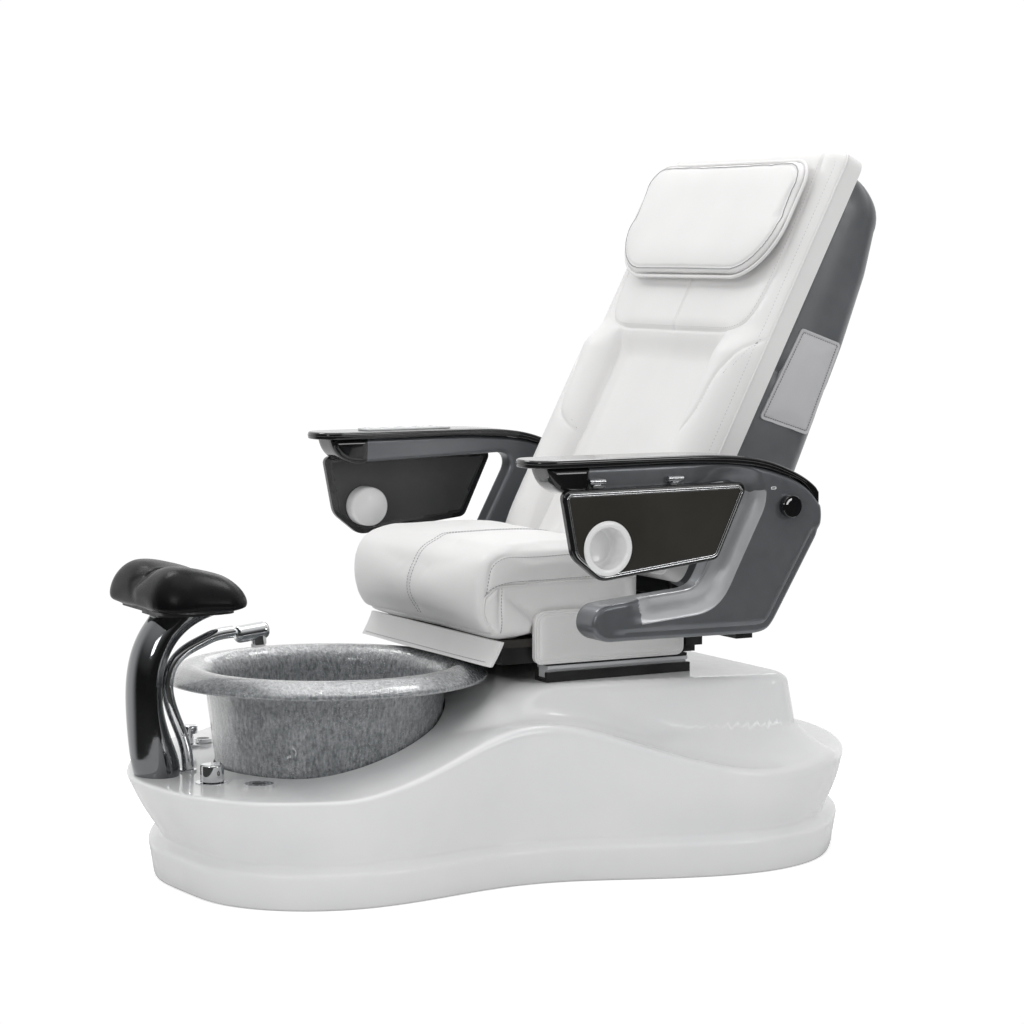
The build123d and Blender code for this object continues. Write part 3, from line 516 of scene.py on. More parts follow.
def hexagons(loops, gap, clear):
    """Even points inside loops[0] and outside the others, clear of them all."""
    low, high = loops[0].min(0), loops[0].max(0)
    rows = []
    for k, v in enumerate(np.arange(low[1], high[1], gap * 0.866)):
        us = np.arange(low[0] + (k % 2) * gap / 2, high[0], gap)
        rows.append(np.stack([us, np.full(len(us), v)], axis=1))
    pts = np.vstack(rows)
    pts = pts[inside(pts, loops[0])]
    for hole in loops[1:]:
        pts = pts[~inside(pts, hole)]
    for loop in loops:
        pts = pts[reach(pts, loop, True) > clear]
    return pts


def thin(points, others, gap):
    """The points that keep a gap from the others and from each other."""
    tree = KDTree(len(points) + len(others))
    out = []
    kept = np.zeros(len(points), bool)
    cells = {}
    size = gap
    for p in others:
        cells.setdefault((int(p[0] // size), int(p[1] // size)), []).append(p)
    for i, p in enumerate(points):
        cx, cy = int(p[0] // size), int(p[1] // size)
        near = False
        for ax in (-1, 0, 1):
            for ay in (-1, 0, 1):
                for q in cells.get((cx + ax, cy + ay), ()):
                    if (q[0] - p[0]) ** 2 + (q[1] - p[1]) ** 2 < gap * gap:
                        near = True
        if not near:
            cells.setdefault((cx, cy), []).append(p)
            kept[i] = True
    return points[kept]


def slab(loops, front, rear, place, gap, rims=(), lines=(), steps=3):
    """A closed solid over a flat outline. front and rear give its two surfaces from
    (uv, distance to the outline); place turns (u, v, w) into a point of the chair.
    rims are distances from the outline that get a row of points, lines are polylines
    that get rows of points along them."""
    loops = [anticlockwise(np.array(loop, float)) for loop in loops]
    edge = np.vstack(loops)
    extra = []
    for off in rims:
        for k, loop in enumerate(loops):
            ring = loop - outward(loop) * off * (1 if k == 0 else -1)
            ring = ring[reach(ring, loop, True) > off * 0.93]
            if len(ring):
                extra.append(ring)
    for line, width in lines:
        line = even(line, gap * 0.6)
        d = np.gradient(line, axis=0)
        n = np.stack([-d[:, 1], d[:, 0]], axis=1)
        n /= np.maximum(np.linalg.norm(n, axis=1, keepdims=True), 1e-9)
        for off in (0, -width * 0.5, width * 0.5, -width, width, -width * 1.8, width * 1.8):
            extra.append(line + n * off)
    tight = min([gap * 0.5] + [r * 0.45 for r in rims if r > 0] + [w * 0.4 for _, w in lines])
    if extra:
        extra = np.vstack(extra)
        extra = extra[inside(extra, loops[0])]
        for hole in loops[1:]:
            extra = extra[~inside(extra, hole)]
        extra = thin(extra, edge, tight)
    else:
        extra = np.zeros((0, 2))
    fill = hexagons(loops, gap, gap * 0.6)
    fill = thin(fill, np.vstack([edge, extra]), gap * 0.62)
    points = np.vstack([edge, extra, fill])
    tris = triangles(points, loops)
    depth = np.full(len(points), 1e9)
    for loop in loops:
        depth = np.minimum(depth, reach(points, loop, True))
    depth[:len(edge)] = 0.0
    top, bottom = front(points, depth), rear(points, depth)
    n = len(points)
    verts = [place(u, v, w) for (u, v), w in zip(points, top)]
    verts += [place(u, v, w) for (u, v), w in zip(points, bottom)]
    faces = [tuple(t) for t in tris] + [tuple(t[::-1] + n) for t in tris]
    start = 0
    for loop in loops:
        count = len(loop)
        rows = [[start + i for i in range(count)]]
        for k in range(1, steps):
            f = k / steps
            row = []
            for i in range(count):
                j = start + i
                row.append(len(verts))
                verts.append(place(points[j][0], points[j][1], top[j] * (1 - f) + bottom[j] * f))
            rows.append(row)
        rows.append([start + i + n for i in range(count)])
        for a, b in zip(rows, rows[1:]):
            for i in range(count):
                j = (i + 1) % count
                faces.append((a[i], b[i], b[j], a[j]))
        start += count
    return verts, faces


def ball(depth, radius):
    """How far a rounded edge of this radius has dropped at a distance from the edge."""
    d = np.clip(depth, 0, radius)
    return radius - np.sqrt(np.maximum(radius ** 2 - (radius - d) ** 2, 0))


def ease(value, low, high):
    t = np.clip((value - low) / (high - low), 0, 1)
    return t * t * (3 - 2 * t)


def tube(line, radius, sides=10, closed=False, caps=True, flat=1.0, up=None):
    """A round tube along a 3D polyline; radius may be a list."""
    pts = [Vector(p) for p in line]
    n = len(pts)
    radii = [radius] * n if isinstance(radius, (int, float)) else list(radius)
    verts, faces = [], []
    side = None
    for i, p in enumerate(pts):
        a = pts[i - 1] if (i or closed) else pts[i]
        b = pts[(i + 1) % n] if (i < n - 1 or closed) else pts[i]
        way = (b - a).normalized()
        if side is None:
            side = way.cross(Vector(up) if up else Vector((0.13, 0.22, 0.97)))
            if side.length < 1e-3:
                side = way.cross(Vector((1, 0, 0)))
        side = (side - way * side.dot(way)).normalized()
        other = way.cross(side)
        for k in range(sides):
            c = 2 * math.pi * k / sides
            verts.append(p + (side * math.cos(c) + other * math.sin(c) * flat) * radii[i])
    for i in range(n if closed else n - 1):
        a, b = i * sides, ((i + 1) % n) * sides
        for k in range(sides):
            m = (k + 1) % sides
            faces.append((a + k, a + m, b + m, b + k))
    if caps and not closed:
        faces.append(tuple(range(sides))[::-1])
        faces.append(tuple((n - 1) * sides + k for k in range(sides)))
    return verts, faces


def lathe(profile, count, place, wobble=None):
    """A closed solid of revolution from a closed (radius, height) outline."""
    prof = [(float(r), float(h)) for r, h in profile]
    rows, verts, faces = [], [], []
    for r, h in prof:
        if r < 1e-6:
            rows.append([len(verts)] * count)
            verts.append(place(0.0, 0.0, h))
            continue
        row = []
        for k in range(count):
            a = 2 * math.pi * k / count
            rr = r + (wobble(r, a, h) if wobble else 0.0)
            row.append(len(verts))
            verts.append(place(rr * math.cos(a), rr * math.sin(a), h))
        rows.append(row)
    for i in range(len(rows)):
        a, b = rows[i], rows[(i + 1) % len(rows)]
        if a[0] == a[1] and b[0] == b[1]:
            continue
        for k in range(count):
            m = (k + 1) % count
            face = [a[k], a[m], b[m], b[k]]
            face = [v for j, v in enumerate(face) if v not in face[:j]]
            faces.append(tuple(face))
    return verts, faces


def joined(parts):
    """Several (verts, faces) as one."""
    verts, faces = [], []
    for v, f in parts:
        base = len(verts)
        verts += list(v)
        faces += [tuple(i + base for i in face) for face in f]
    return verts, faces


# ---- tub --------------------------------------------------------------------------------
FLOOR_HALF = [(0, -655), (120, -654), (223, -640), (325, -567), (374, -459), (367, -289), (343, -134),
              (351, -42), (394, 82), (436, 206), (450, 330), (412, 452), (314, 556), (187, 638), (0, 680)]
RIDGE_HALF = [(0, -711), (125, -708), (234, -686), (345, -606), (391, -480), (389, -300), (363, -134),
              (368, -42), (410, 84), (453, 206), (471, 340), (432, 470), (335, 574), (195, 656), (0, 698)]
FLOOR_FAR_FRONT = [(110, -622), (205, -574), (300, -510), (360, -430)]
RIDGE_FAR_FRONT = [(118, -672), (220, -620), (322, -550), (380, -457)]
RIDGE_RISE = [190, 190, 190, 190, 195, 235, 279, 281, 250, 208, 187, 187, 187, 187, 187]
RIDGE_LINE = [(-460, 190), (-400, 199), (-342, 214), (-227, 251), (-130, 279), (-77, 283), (0, 272),
              (84, 246), (206, 207), (330, 187)]
WALL_FOOT, WALL_TOP = 0.076, 0.345
DECK = 0.190
PLATFORM = 0.340
BOWL_Y = -0.330


def whole(half, far_front):
    """Closed outline in metres: the sitter's left half, then the right with its rounder front."""
    far = far_front + half[len(far_front) + 1:-1]
    return np.array(half + [(-x, y) for x, y in reversed(far)], float) / 1000


def ridge_height():
    """The tub top's height along Y, flat in front and behind."""
    line = [(-700, 190), (-520, 190)] + RIDGE_LINE + [(420, 187), (800, 187)]
    return spline(np.array(line, float) / 1000, 24)


RIDGE_CURVE = ridge_height()


def platform_gap(x, y, z):
    """Distance outside the seat platform's outline at height z, negative inside."""
    zs = [0.05, 0.18, 0.25, PLATFORM]
    front = np.interp(z, zs, [-0.46, -0.360, -0.205, -0.062])
    rear = np.interp(z, zs, [0.530, 0.505, 0.458, 0.446])
    near = np.interp(z, zs, [0.340, 0.320, 0.290, 0.262])
    far = np.interp(z, zs, [0.460, 0.425, 0.380, 0.370])
    r = 0.055
    top = 0.016
    up = np.clip(z - (PLATFORM - top), 0, top)
    shrink = top - np.sqrt(np.maximum(top ** 2 - up ** 2, 0)) + np.maximum(z - PLATFORM, 0) * 50
    run = np.hypot(far - near, rear - front)
    side = ((np.abs(x) - near) * (rear - front) - (y - front) * (far - near)) / run
    ends = np.maximum(front - y, y - rear)
    a, b = side + r + shrink, ends + r + shrink
    return np.hypot(np.maximum(a, 0), np.maximum(b, 0)) + np.minimum(np.maximum(a, b), 0) - r


def tub_gap(x, y, z):
    """Signed distance-like field of the tub's upper side: platform blended into the deck."""
    deck = z - np.interp(y, RIDGE_CURVE[:, 0], RIDGE_CURVE[:, 1])
    gap = platform_gap(x, y, z)
    k = 0.012 + 0.050 * ease(y, -0.20, 0.02)
    near = np.maximum(k - np.abs(deck - gap), 0) / k
    return np.minimum(deck, gap) - near * near * k / 4


def tub_top(x, y):
    low = np.full(len(x), 0.12)
    high = np.full(len(x), PLATFORM + 0.004)
    for _ in range(24):
        mid = (low + high) / 2
        solid = tub_gap(x, y, mid) < 0
        low = np.where(solid, mid, low)
        high = np.where(solid, high, mid)
    return (low + high) / 2


def bowl_radius(z):
    return 0.201 + (z - DECK) * 0.1143


def tub():
    floor_line = spline(whole(FLOOR_HALF, FLOOR_FAR_FRONT), 18, True)
    out = outward(floor_line)
    count = len(floor_line)
    foot = whole(FLOOR_HALF, FLOOR_FAR_FRONT)
    foot = foot - outward(foot) * 0.012
    rise = np.array(RIDGE_RISE + RIDGE_RISE[1:-1][::-1]) / 1000
    lean = (WALL_TOP - WALL_FOOT) / (rise - WALL_FOOT)
    head = foot + (whole(RIDGE_HALF, RIDGE_FAR_FRONT) - foot) * lean[:, None]
    foot_line, head_line = spline(foot, 18, True), spline(head, 18, True)

    def wall(k):
        xy = foot_line + (head_line - foot_line) * k[:, None]
        return xy, WALL_FOOT + (WALL_TOP - WALL_FOOT) * k

    low, high = np.zeros(count), np.ones(count)
    for _ in range(30):
        mid = (low + high) / 2
        xy, z = wall(mid)
        solid = tub_gap(xy[:, 0], xy[:, 1], z) < 0
        low, high = np.where(solid, mid, low), np.where(solid, high, mid)
    ridge_k = low
    ridge, ridge_z = wall(ridge_k)
    soft = 0.013 + 0.009 * ease(ridge[:, 1], -0.35, -0.05)
    rings = []
    for off, z in [(-0.004, 0.0), (-0.0005, 0.0012), (0.0008, 0.005), (0.0045, 0.028), (0.0085, 0.052),
                   (0.0092, 0.0565), (0.0088, 0.0600), (0.0068, 0.0627), (0.0030, 0.0650), (-0.0060, 0.0695),
                   (-0.0095, 0.0718), (-0.0112, 0.0742), (-0.0118, 0.0775)]:
        rings.append((floor_line + out * off, np.full(count, z)))
    k0 = (0.083 - WALL_FOOT) / (WALL_TOP - WALL_FOOT)
    length = np.linalg.norm(head_line - foot_line, axis=1)
    slant = np.hypot(length, WALL_TOP - WALL_FOOT)
    k1 = ridge_k - soft / slant
    for f in np.linspace(0, 1, 15):
        k = k0 + (k1 - k0) * f
        xy, z = wall(k)
        belly = 0.0035 * math.sin(math.pi * f)
        rings.append((xy + out * belly, z))
    edge_in = ridge - outward(ridge) * soft[:, None]
    edge_z = tub_top(edge_in[:, 0], edge_in[:, 1])
    start_xy, start_z = wall(k1)
    for f in (0.16, 0.33, 0.5, 0.67, 0.84):
        a, b, c = (1 - f) ** 2, 2 * f * (1 - f), f * f
        rings.append((start_xy * a + ridge * b + edge_in * c, start_z * a + ridge_z * b + edge_z * c))

    theta = np.linspace(0, 2 * math.pi, 181)[:-1]
    circle = np.stack([np.cos(theta), np.sin(theta)], axis=1)
    hub = np.array((0.0, BOWL_Y))
    radius = np.full(len(theta), 0.204)
    for _ in range(14):
        at = hub + circle * radius[:, None]
        radius = bowl_radius(tub_top(at[:, 0], at[:, 1])) + 0.0016
    mouth = hub + circle * (radius + 0.004)[:, None]
    holes = [mouth]
    for x, y, r in ((123, -605, 12), (197, -549, 21), (-249, -493, 12), (-272, -458, 14), (0, -600, 13)):
        a = np.linspace(0, 2 * math.pi, 33)[:-1]
        holes.append(np.stack([x + r * np.cos(a), y + r * np.sin(a)], axis=1) / 1000)
    loops = [edge_in] + holes
    edge = np.vstack(loops)
    fill = thin(hexagons(loops, 0.011, 0.006), edge, 0.0065)
    points = np.vstack([edge, fill])
    for _ in range(4):
        tris = triangles(points, loops)
        z = tub_top(points[:, 0], points[:, 1])
        spots = np.column_stack([points, z])
        sides = np.vstack([tris[:, [0, 1]], tris[:, [1, 2]], tris[:, [2, 0]]])
        sides = np.unique(np.sort(sides, axis=1), axis=0)
        long = np.linalg.norm(spots[sides[:, 0]] - spots[sides[:, 1]], axis=1) > 0.017
        flat = np.linalg.norm(points[sides[:, 0]] - points[sides[:, 1]], axis=1) > 0.0016
        middle = points[sides[long & flat]].mean(axis=1)
        middle = middle[reach(middle, edge_in, True) > 0.003]
        if not len(middle):
            break
        middle = thin(middle, points, 0.0008)
        points = np.vstack([points, middle])
    tris = triangles(points, loops)
    z = tub_top(points[:, 0], points[:, 1])
    e = 0.0004

    def slope(axis):
        d = np.zeros(3)
        d[axis] = e
        a = tub_gap(points[:, 0] + d[0], points[:, 1] + d[1], z + d[2])
        b = tub_gap(points[:, 0] - d[0], points[:, 1] - d[1], z - d[2])
        return (a - b) / (2 * e)

    normal = np.stack([slope(0), slope(1), slope(2)], axis=1)
    normal /= np.linalg.norm(normal, axis=1, keepdims=True)

    verts = [P(x, y, h) for xy, zz in rings for (x, y), h in zip(xy, zz)]
    faces = []
    for i in range(len(rings) - 1):
        for k in range(count):
            m = (k + 1) % count
            faces.append((i * count + k, i * count + m, (i + 1) * count + m, (i + 1) * count + k))
    top0 = len(verts)
    verts += [P(x, y, h) for (x, y), h in zip(points, z)]
    last = (len(rings) - 1) * count
    turned = edge_in is not loops[0]
    for k in range(count):
        m = (k + 1) % count
        faces.append((last + k, last + m, top0 + m, top0 + k))
    faces += [tuple(t + top0) for t in tris]
    # inner skin
    skin = 0.008
    inner = [(floor_line - out * 0.020, 0.0), (floor_line - out * 0.021, 0.078)]
    inner_rings = [[(x, y, h) for x, y in xy] for xy, h in inner]
    for f in (0.35, 0.7, 1.0):
        k = k0 + (k1 - k0) * f
        xy, zz = wall(k)
        inner_rings.append([(p[0], p[1], h) for p, h in zip(xy - out * (skin + 0.001), zz)])
    rows = []
    for ring in inner_rings:
        rows.append(len(verts))
        verts += [P(*p) for p in ring]
    under0 = len(verts)
    verts += [P(*(np.array((x, y, h)) - n * skin)) for (x, y), h, n in zip(points, z, normal)]
    faces += [tuple(t[::-1] + under0) for t in tris]
    for a, b in zip(rows, rows[1:] + [under0]):
        for k in range(count):
            m = (k + 1) % count
            faces.append((a + k, b + k, b + m, a + m))
    for k in range(count):
        m = (k + 1) % count
        faces.append((k, rows[0] + k, rows[0] + m, m))
    # rims of the bowl's opening and the small holes
    start = count
    for hole in holes:
        n = len(hole)
        centre = hole.mean(axis=0)
        big = n > 100
        rims = [start + top0 + np.arange(n)]
        if big:
            for inset, drop in ((0.0022, 0.0004), (0.0008, 0.0014), (0.0, 0.0040)):
                ring = hub + circle * (radius + inset)[:, None]
                rims.append(np.arange(len(verts), len(verts) + n))
                verts += [P(x, y, h - drop) for (x, y), h in zip(ring, z[start:start + n])]
        rims.append(start + under0 + np.arange(n))
        for a, b in zip(rims, rims[1:]):
            for k in range(n):
                m = (k + 1) % n
                faces.append((a[k], a[m], b[m], b[k]))
        start += n
    piece = new_piece("tub", verts, faces, "gelcoat", "base", "gelcoat", sharp=None)
    mesh = piece.data
    own = np.zeros(len(mesh.vertices) * 3, np.float32)
    mesh.vertices.foreach_get("normal", own)
    own = own.reshape(-1, 3)
    own[top0 + count:top0 + len(points)] = normal[count:]
    mesh.normals_split_custom_set_from_vertices([tuple(v) for v in own])
    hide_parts("base_shell")


def glass():
    wall_out = [(0.150, 0.0962), (0.178, 0.106), (0.1915, 0.130), (0.1970, 0.160), (0.2055, 0.230),
                (0.2155, 0.312), (0.2195, 0.331), (0.2310, 0.3455), (0.2500, 0.3485), (0.2700, 0.3455),
                (0.2845, 0.3405)]
    lip = [(0.2900, 0.3405), (0.2925, 0.3430), (0.2928, 0.3465), (0.2905, 0.3500)]
    wall_in = [(0.2800, 0.3575), (0.2620, 0.3655), (0.2430, 0.3685), (0.2250, 0.3635), (0.2120, 0.3490),
               (0.2070, 0.3250), (0.1970, 0.2400), (0.1880, 0.1650), (0.1810, 0.1300), (0.1660, 0.1120),
               (0.1450, 0.1062)]
    outer = even(spline(wall_out, 12), 0.0042)
    inner = even(spline(wall_in, 12), 0.0042)
    floor_in = [(0.10, 0.106), (0.06, 0.106), (0.0245, 0.106)]
    floor_out = [(0.0245, 0.096), (0.06, 0.096), (0.10, 0.096)]
    profile = list(map(tuple, outer)) + lip + list(map(tuple, inner)) + floor_in + floor_out

    def place(x, y, h):
        return P(x, y + BOWL_Y, h)

    def crinkle(r, a, h):
        if r < 0.16:
            return 0.0
        p = Vector((math.cos(a) * 5.2, math.sin(a) * 5.2, h * 7.0))
        slow = noise.noise(p) * 0.0012
        quick = noise.noise(Vector((math.cos(a) * 24, math.sin(a) * 24, h * 26.0))) * 0.0006
        lip = 1.0 - 0.85 * float(ease(np.array([r]), 0.222, 0.236)[0])
        return (slow + quick) * lip

    verts, faces = lathe(profile, 300, place, crinkle)
    faces = [f[::-1] for f in faces]
    piece = new_piece("basin", verts, faces, "bowl_glass", "base", "bowl_glass", sharp=60)
    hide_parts("glass_bowl")


tub()
glass()


# ---- soft pieces ------------------------------------------------------------------------
def inflate(piece, voxel, pressure, cap, frames=20):
    """Swell a closed form as stuffed cloth: remesh, simulate, limit the movement, subdivide."""
    bpy.context.view_layer.objects.active = piece
    for other in bpy.context.selected_objects:
        other.select_set(False)
    piece.select_set(True)
    mod = piece.modifiers.new("even", "REMESH")
    mod.mode = "VOXEL"
    mod.voxel_size = voxel
    bpy.ops.object.modifier_apply(modifier=mod.name)
    smooth = piece.modifiers.new("soften", "SMOOTH")
    smooth.iterations = 3
    smooth.factor = 0.5
    bpy.ops.object.modifier_apply(modifier=smooth.name)
    mesh = piece.data
    start = np.zeros(len(mesh.vertices) * 3)
    mesh.vertices.foreach_get("co", start)
    cloth = piece.modifiers.new("stuffing", "CLOTH")
    cloth.settings.use_pressure = True
    cloth.settings.uniform_pressure_force = pressure
    cloth.settings.tension_stiffness = 30
    cloth.settings.compression_stiffness = 30
    cloth.settings.shear_stiffness = 12
    cloth.settings.bending_stiffness = 2.0
    cloth.settings.mass = 0.4
    cloth.settings.effector_weights.gravity = 0.0
    cloth.collision_settings.use_collision = False
    cloth.point_cache.frame_end = frames
    for step in range(1, frames + 1):
        bpy.context.scene.frame_set(step)
    shape = piece.evaluated_get(bpy.context.evaluated_depsgraph_get())
    moved = np.zeros(len(mesh.vertices) * 3)
    shape.data.vertices.foreach_get("co", moved)
    piece.modifiers.remove(cloth)
    bpy.context.scene.frame_set(1)
    shift = (moved - start).reshape(-1, 3)
    size = np.linalg.norm(shift, axis=1, keepdims=True)
    shift *= np.minimum(1.0, cap / np.maximum(size, 1e-9))
    mesh.vertices.foreach_set("co", (start.reshape(-1, 3) + shift).ravel())
    calm = piece.modifiers.new("calm", "SMOOTH")
    calm.iterations = 12
    calm.factor = 0.5
    bpy.ops.object.modifier_apply(modifier=calm.name)
    finer = piece.modifiers.new("finer", "SUBSURF")
    finer.levels = 1
    bpy.ops.object.modifier_apply(modifier=finer.name)
    piece.data.polygons.foreach_set("use_smooth", [True] * len(piece.data.polygons))
    piece.data.update()
    return piece


def coords(piece):
    co = np.zeros(len(piece.data.vertices) * 3)
    piece.data.vertices.foreach_get("co", co)
    return co.reshape(-1, 3)


def pinch(piece, lines, depth, width):
    """Press sewn seams into a soft piece along the given 3D lines."""
    points = np.vstack([even([tuple(p) for p in line], 0.001) for line in lines])
    tree = KDTree(len(points))
    for i, p in enumerate(points):
        tree.insert(p, i)
    tree.balance()
    co = coords(piece)
    normals = np.zeros(len(co) * 3)
    piece.data.vertices.foreach_get("normal", normals)
    normals = normals.reshape(-1, 3)
    for i, p in enumerate(co):
        d = tree.find(p)[2]
        if d < width * 3:
            co[i] = p - normals[i] * depth * math.exp(-(d / width) ** 2)
    piece.data.vertices.foreach_set("co", co.ravel())
    piece.data.update()


def settled(piece, line, lift=0.0, gap=0.004):
    """A 3D line moved onto a piece's surface, lifted off it along the normal."""
    tree = BVHTree.FromObject(piece, bpy.context.evaluated_depsgraph_get())
    out, normals = [], []
    for p in even([tuple(q) for q in line], gap):
        spot, normal, _, _ = tree.find_nearest(Vector(p))
        out.append(spot + normal * lift)
        normals.append(normal)
    return out, normals


def stitches(name, piece, lines, body, slot, mats="thread", pitch=0.0062, long=0.0042, radius=0.00075, lift=0.0004):
    """Short thread stitches along lines on a piece's surface."""
    parts = []
    for line in lines:
        spots, normals = settled(piece, line, lift, pitch)
        for a, b, n in zip(spots, spots[1:], normals):
            way = (b - a)
            if way.length < 1e-5:
                continue
            way.normalize()
            mid = (a + b) / 2
            side = way.cross(n).normalized() * radius
            rise = n * radius
            ends = [mid - way * long / 2, mid + way * long / 2]
            ring = []
            for centre, k in ((ends[0], 0.55), (mid, 1.0), (ends[1], 0.55)):
                ring += [centre + side * k, centre + rise * k, centre - side * k, centre - rise * k]
            faces = [(0, 3, 2, 1), (8, 9, 10, 11)]
            for r in (0, 4):
                for k in range(4):
                    m = (k + 1) % 4
                    faces.append((r + k, r + m, r + 4 + m, r + 4 + k))
            parts.append((ring, faces))
    verts, faces = joined(parts)
    return new_piece(name, verts, faces, mats, body, slot, sharp=None)


def beside(line, off, along=None):
    """A line shifted sideways within its own surface plane given by a normal vector."""
    pts = [Vector(p) for p in line]
    out = []
    for i, p in enumerate(pts):
        a, b = pts[max(0, i - 1)], pts[min(len(pts) - 1, i + 1)]
        way = (b - a).normalized()
        out.append(p + way.cross(Vector(along)).normalized() * off)
    return out


def piping(name, line, radius, body, slot, mats="white_leather", closed=False, sides=8):
    pts = even([tuple(p) for p in line], 0.004, closed)
    verts, faces = tube(pts, radius, sides, closed)
    return new_piece(name, verts, faces, mats, body, slot, sharp=60)


SEAT_X = 0.262


def seat_side():
    """The seat's side view: rolled front, crowned top, sloping to the rear."""
    front = spline([(-0.112, 0.4225), (-0.136, 0.434), (-0.152, 0.462), (-0.159, 0.500), (-0.155, 0.538),
                    (-0.139, 0.567), (-0.112, 0.5815), (-0.070, 0.5855), (0.0, 0.5865), (0.080, 0.5850),
                    (0.150, 0.5790)], 10)
    rear = [(0.170, 0.570), (0.179, 0.540), (0.179, 0.450), (0.172, 0.4225)]
    return even(np.vstack([front, rear]), 0.006, True)


def seat():
    outline = anticlockwise(seat_side())
    out = outward(outline)
    # the underside is stepped over the skirts, so the pad's lower sides stay narrow
    xs, insets = [], []
    r = 0.022
    for a in np.linspace(0, math.pi / 2, 8):
        xs.append(-SEAT_X + 0.002 + r * (1 - math.cos(a)))
        insets.append(r * (1 - math.sin(a)))
    body_x = list(np.linspace(xs[-1], -xs[-1], 60)[1:-1])
    all_x = xs + body_x + [-x for x in reversed(xs)]
    all_in = insets + [0.0] * len(body_x) + list(reversed(insets))
    n = len(outline)
    verts, faces = [], []
    for x, inset in zip(all_x, all_in):
        ring = outline - out * inset
        for y, z in ring:
            low = max(0.0, min(1.0, (0.4735 - z) / 0.010))
            tuck = 0.0 if y < -0.045 or y > 0.20 else 1.0
            limit = SEAT_X - 0.0245 * low * tuck * ease(np.array([y]), -0.052, -0.040)[0]
            verts.append(P(max(-limit, min(limit, x)), y, z))
    for i in range(len(all_x) - 1):
        for k in range(n):
            m = (k + 1) % n
            faces.append((i * n + k, i * n + m, (i + 1) * n + m, (i + 1) * n + k))
    faces.append(tuple(range(n))[::-1])
    faces.append(tuple((len(all_x) - 1) * n + k for k in range(n)))
    piece = new_piece("seat_pad", verts, faces, "white_leather", "carriage", "white_leather", sharp=None)
    inflate(piece, 0.0055, 2.5, 0.005)
    co = coords(piece)
    # fuller cushions either side of the middle seam, pushed forward at the front roll
    y = co[:, 1] - MID
    crown = np.cos(np.clip((np.abs(co[:, 0]) - 0.131) / 0.131, -1, 1) * math.pi / 2)
    front = ease(-y, 0.02, 0.15) * crown * ease(co[:, 2], 0.43, 0.47)
    co[:, 1] -= 0.0045 * front
    piece.data.vertices.foreach_set("co", co.ravel())
    piece.data.update()
    e = SEAT_X
    middle = [P(0, -0.150, 0.440), P(0, -0.164, 0.480), P(0, -0.164, 0.520), P(0, -0.150, 0.562),
              P(0, -0.112, 0.592), P(0, -0.05, 0.598), P(0, 0.05, 0.598), P(0, 0.14, 0.592)]
    middle = [Vector(p) for p in spline([tuple(p) for p in middle], 8)]
    seams, shallow, stitched, pipes = [middle], [], [], []
    for sx in (-1, 1):
        shelf = spline([(0.170, 0.5225), (0.05, 0.5215), (-0.07, 0.5205), (-0.108, 0.5190), (-0.128, 0.5120),
                        (-0.142, 0.4980)], 8)
        corner = spline([(-0.142, 0.4980), (-0.1465, 0.4800), (-0.1420, 0.4560), (-0.1280, 0.4350)], 8)
        top = spline([(0.150, 0.5700), (0.05, 0.5745), (-0.06, 0.5735), (-0.112, 0.5690), (-0.128, 0.5560),
                      (-0.134, 0.5360), (-0.139, 0.5100)], 8)
        upright = [(-0.113, 0.518), (-0.115, 0.480), (-0.112, 0.428)]
        deep = [P(sx * e, y, z) for y, z in np.vstack([shelf, corner[1:]])]
        seams += [deep, [P(sx * e, y, z) for y, z in upright]]
        shallow.append([P(sx * (e - 0.004), y, z) for y, z in top])
        stitched.append([P(sx * e, y, z + 0.0035) for y, z in shelf])
        stitched.append([P(sx * e, y + 0.0035, z) for y, z in upright])
        stitched.append([P(sx * (e - 0.004), y, z - 0.004) for y, z in top])
        pipes.append(deep)
    under = [P(x, -0.126, 0.431) for x in np.linspace(-0.25, 0.25, 30)]
    seams.append(under)
    pinch(piece, seams, 0.0048, 0.0042)
    pinch(piece, shallow, 0.0026, 0.0030)
    for off in (-0.0055, 0.0055):
        stitched.append([p + Vector((off, 0, 0)) for p in middle])
    stitches("seat_stitches", piece, stitched, "carriage", "white_leather")
    parts = []
    for line in pipes:
        pts, _ = settled(piece, line, 0.0006)
        parts.append(tube(pts, 0.0017, 8))
    verts, faces = joined(parts)
    new_piece("seat_piping", verts, faces, "white_leather", "carriage", "white_leather", sharp=60)
    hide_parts("seat_cushion")
    return piece


def skirt(sx):
    side = "left" if sx > 0 else "right"
    outline = rounded([(-0.038, 0.3755, 0.010), (0.268, 0.3755, 0.012), (0.268, 0.4675, 0.012), (-0.038, 0.4675, 0.020)])

    def place(y, z, x):
        return P(sx * x, y, z)

    def front(uv, d):
        swell = 0.0075 * np.sqrt(np.clip(1 - (1 - np.clip(d / 0.026, 0, 1)) ** 2, 0, 1))
        wave = np.array([noise.noise(Vector((u * 14, v * 30, 2.0))) for u, v in uv]) * 0.0012
        line = np.exp(-((d - 0.0065) / 0.0018) ** 2) * 0.0016
        return 0.2545 + swell + wave * ease(d, 0.0, 0.02) - line

    def rear(uv, d):
        return np.full(len(uv), 0.2425)

    verts, faces = slab([outline], front, rear, place, 0.0075, rims=(0.0015, 0.0035, 0.005, 0.0065, 0.008, 0.011, 0.016),
                        steps=3)
    if sx < 0:
        faces = [f[::-1] for f in faces]
    piece = new_piece("skirt_pad_" + side, verts, faces, "white_leather", "carriage", "white_leather")
    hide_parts("seat_skirt_" + side)
    edge = [P(sx * 0.2553, y, z) for y, z in outline]
    pts = even([tuple(p) for p in edge], 0.004, True)
    verts, faces = tube(pts, 0.0022, 8, True)
    new_piece("skirt_piping_" + side, verts, faces, "white_leather", "carriage", "white_leather", sharp=60)


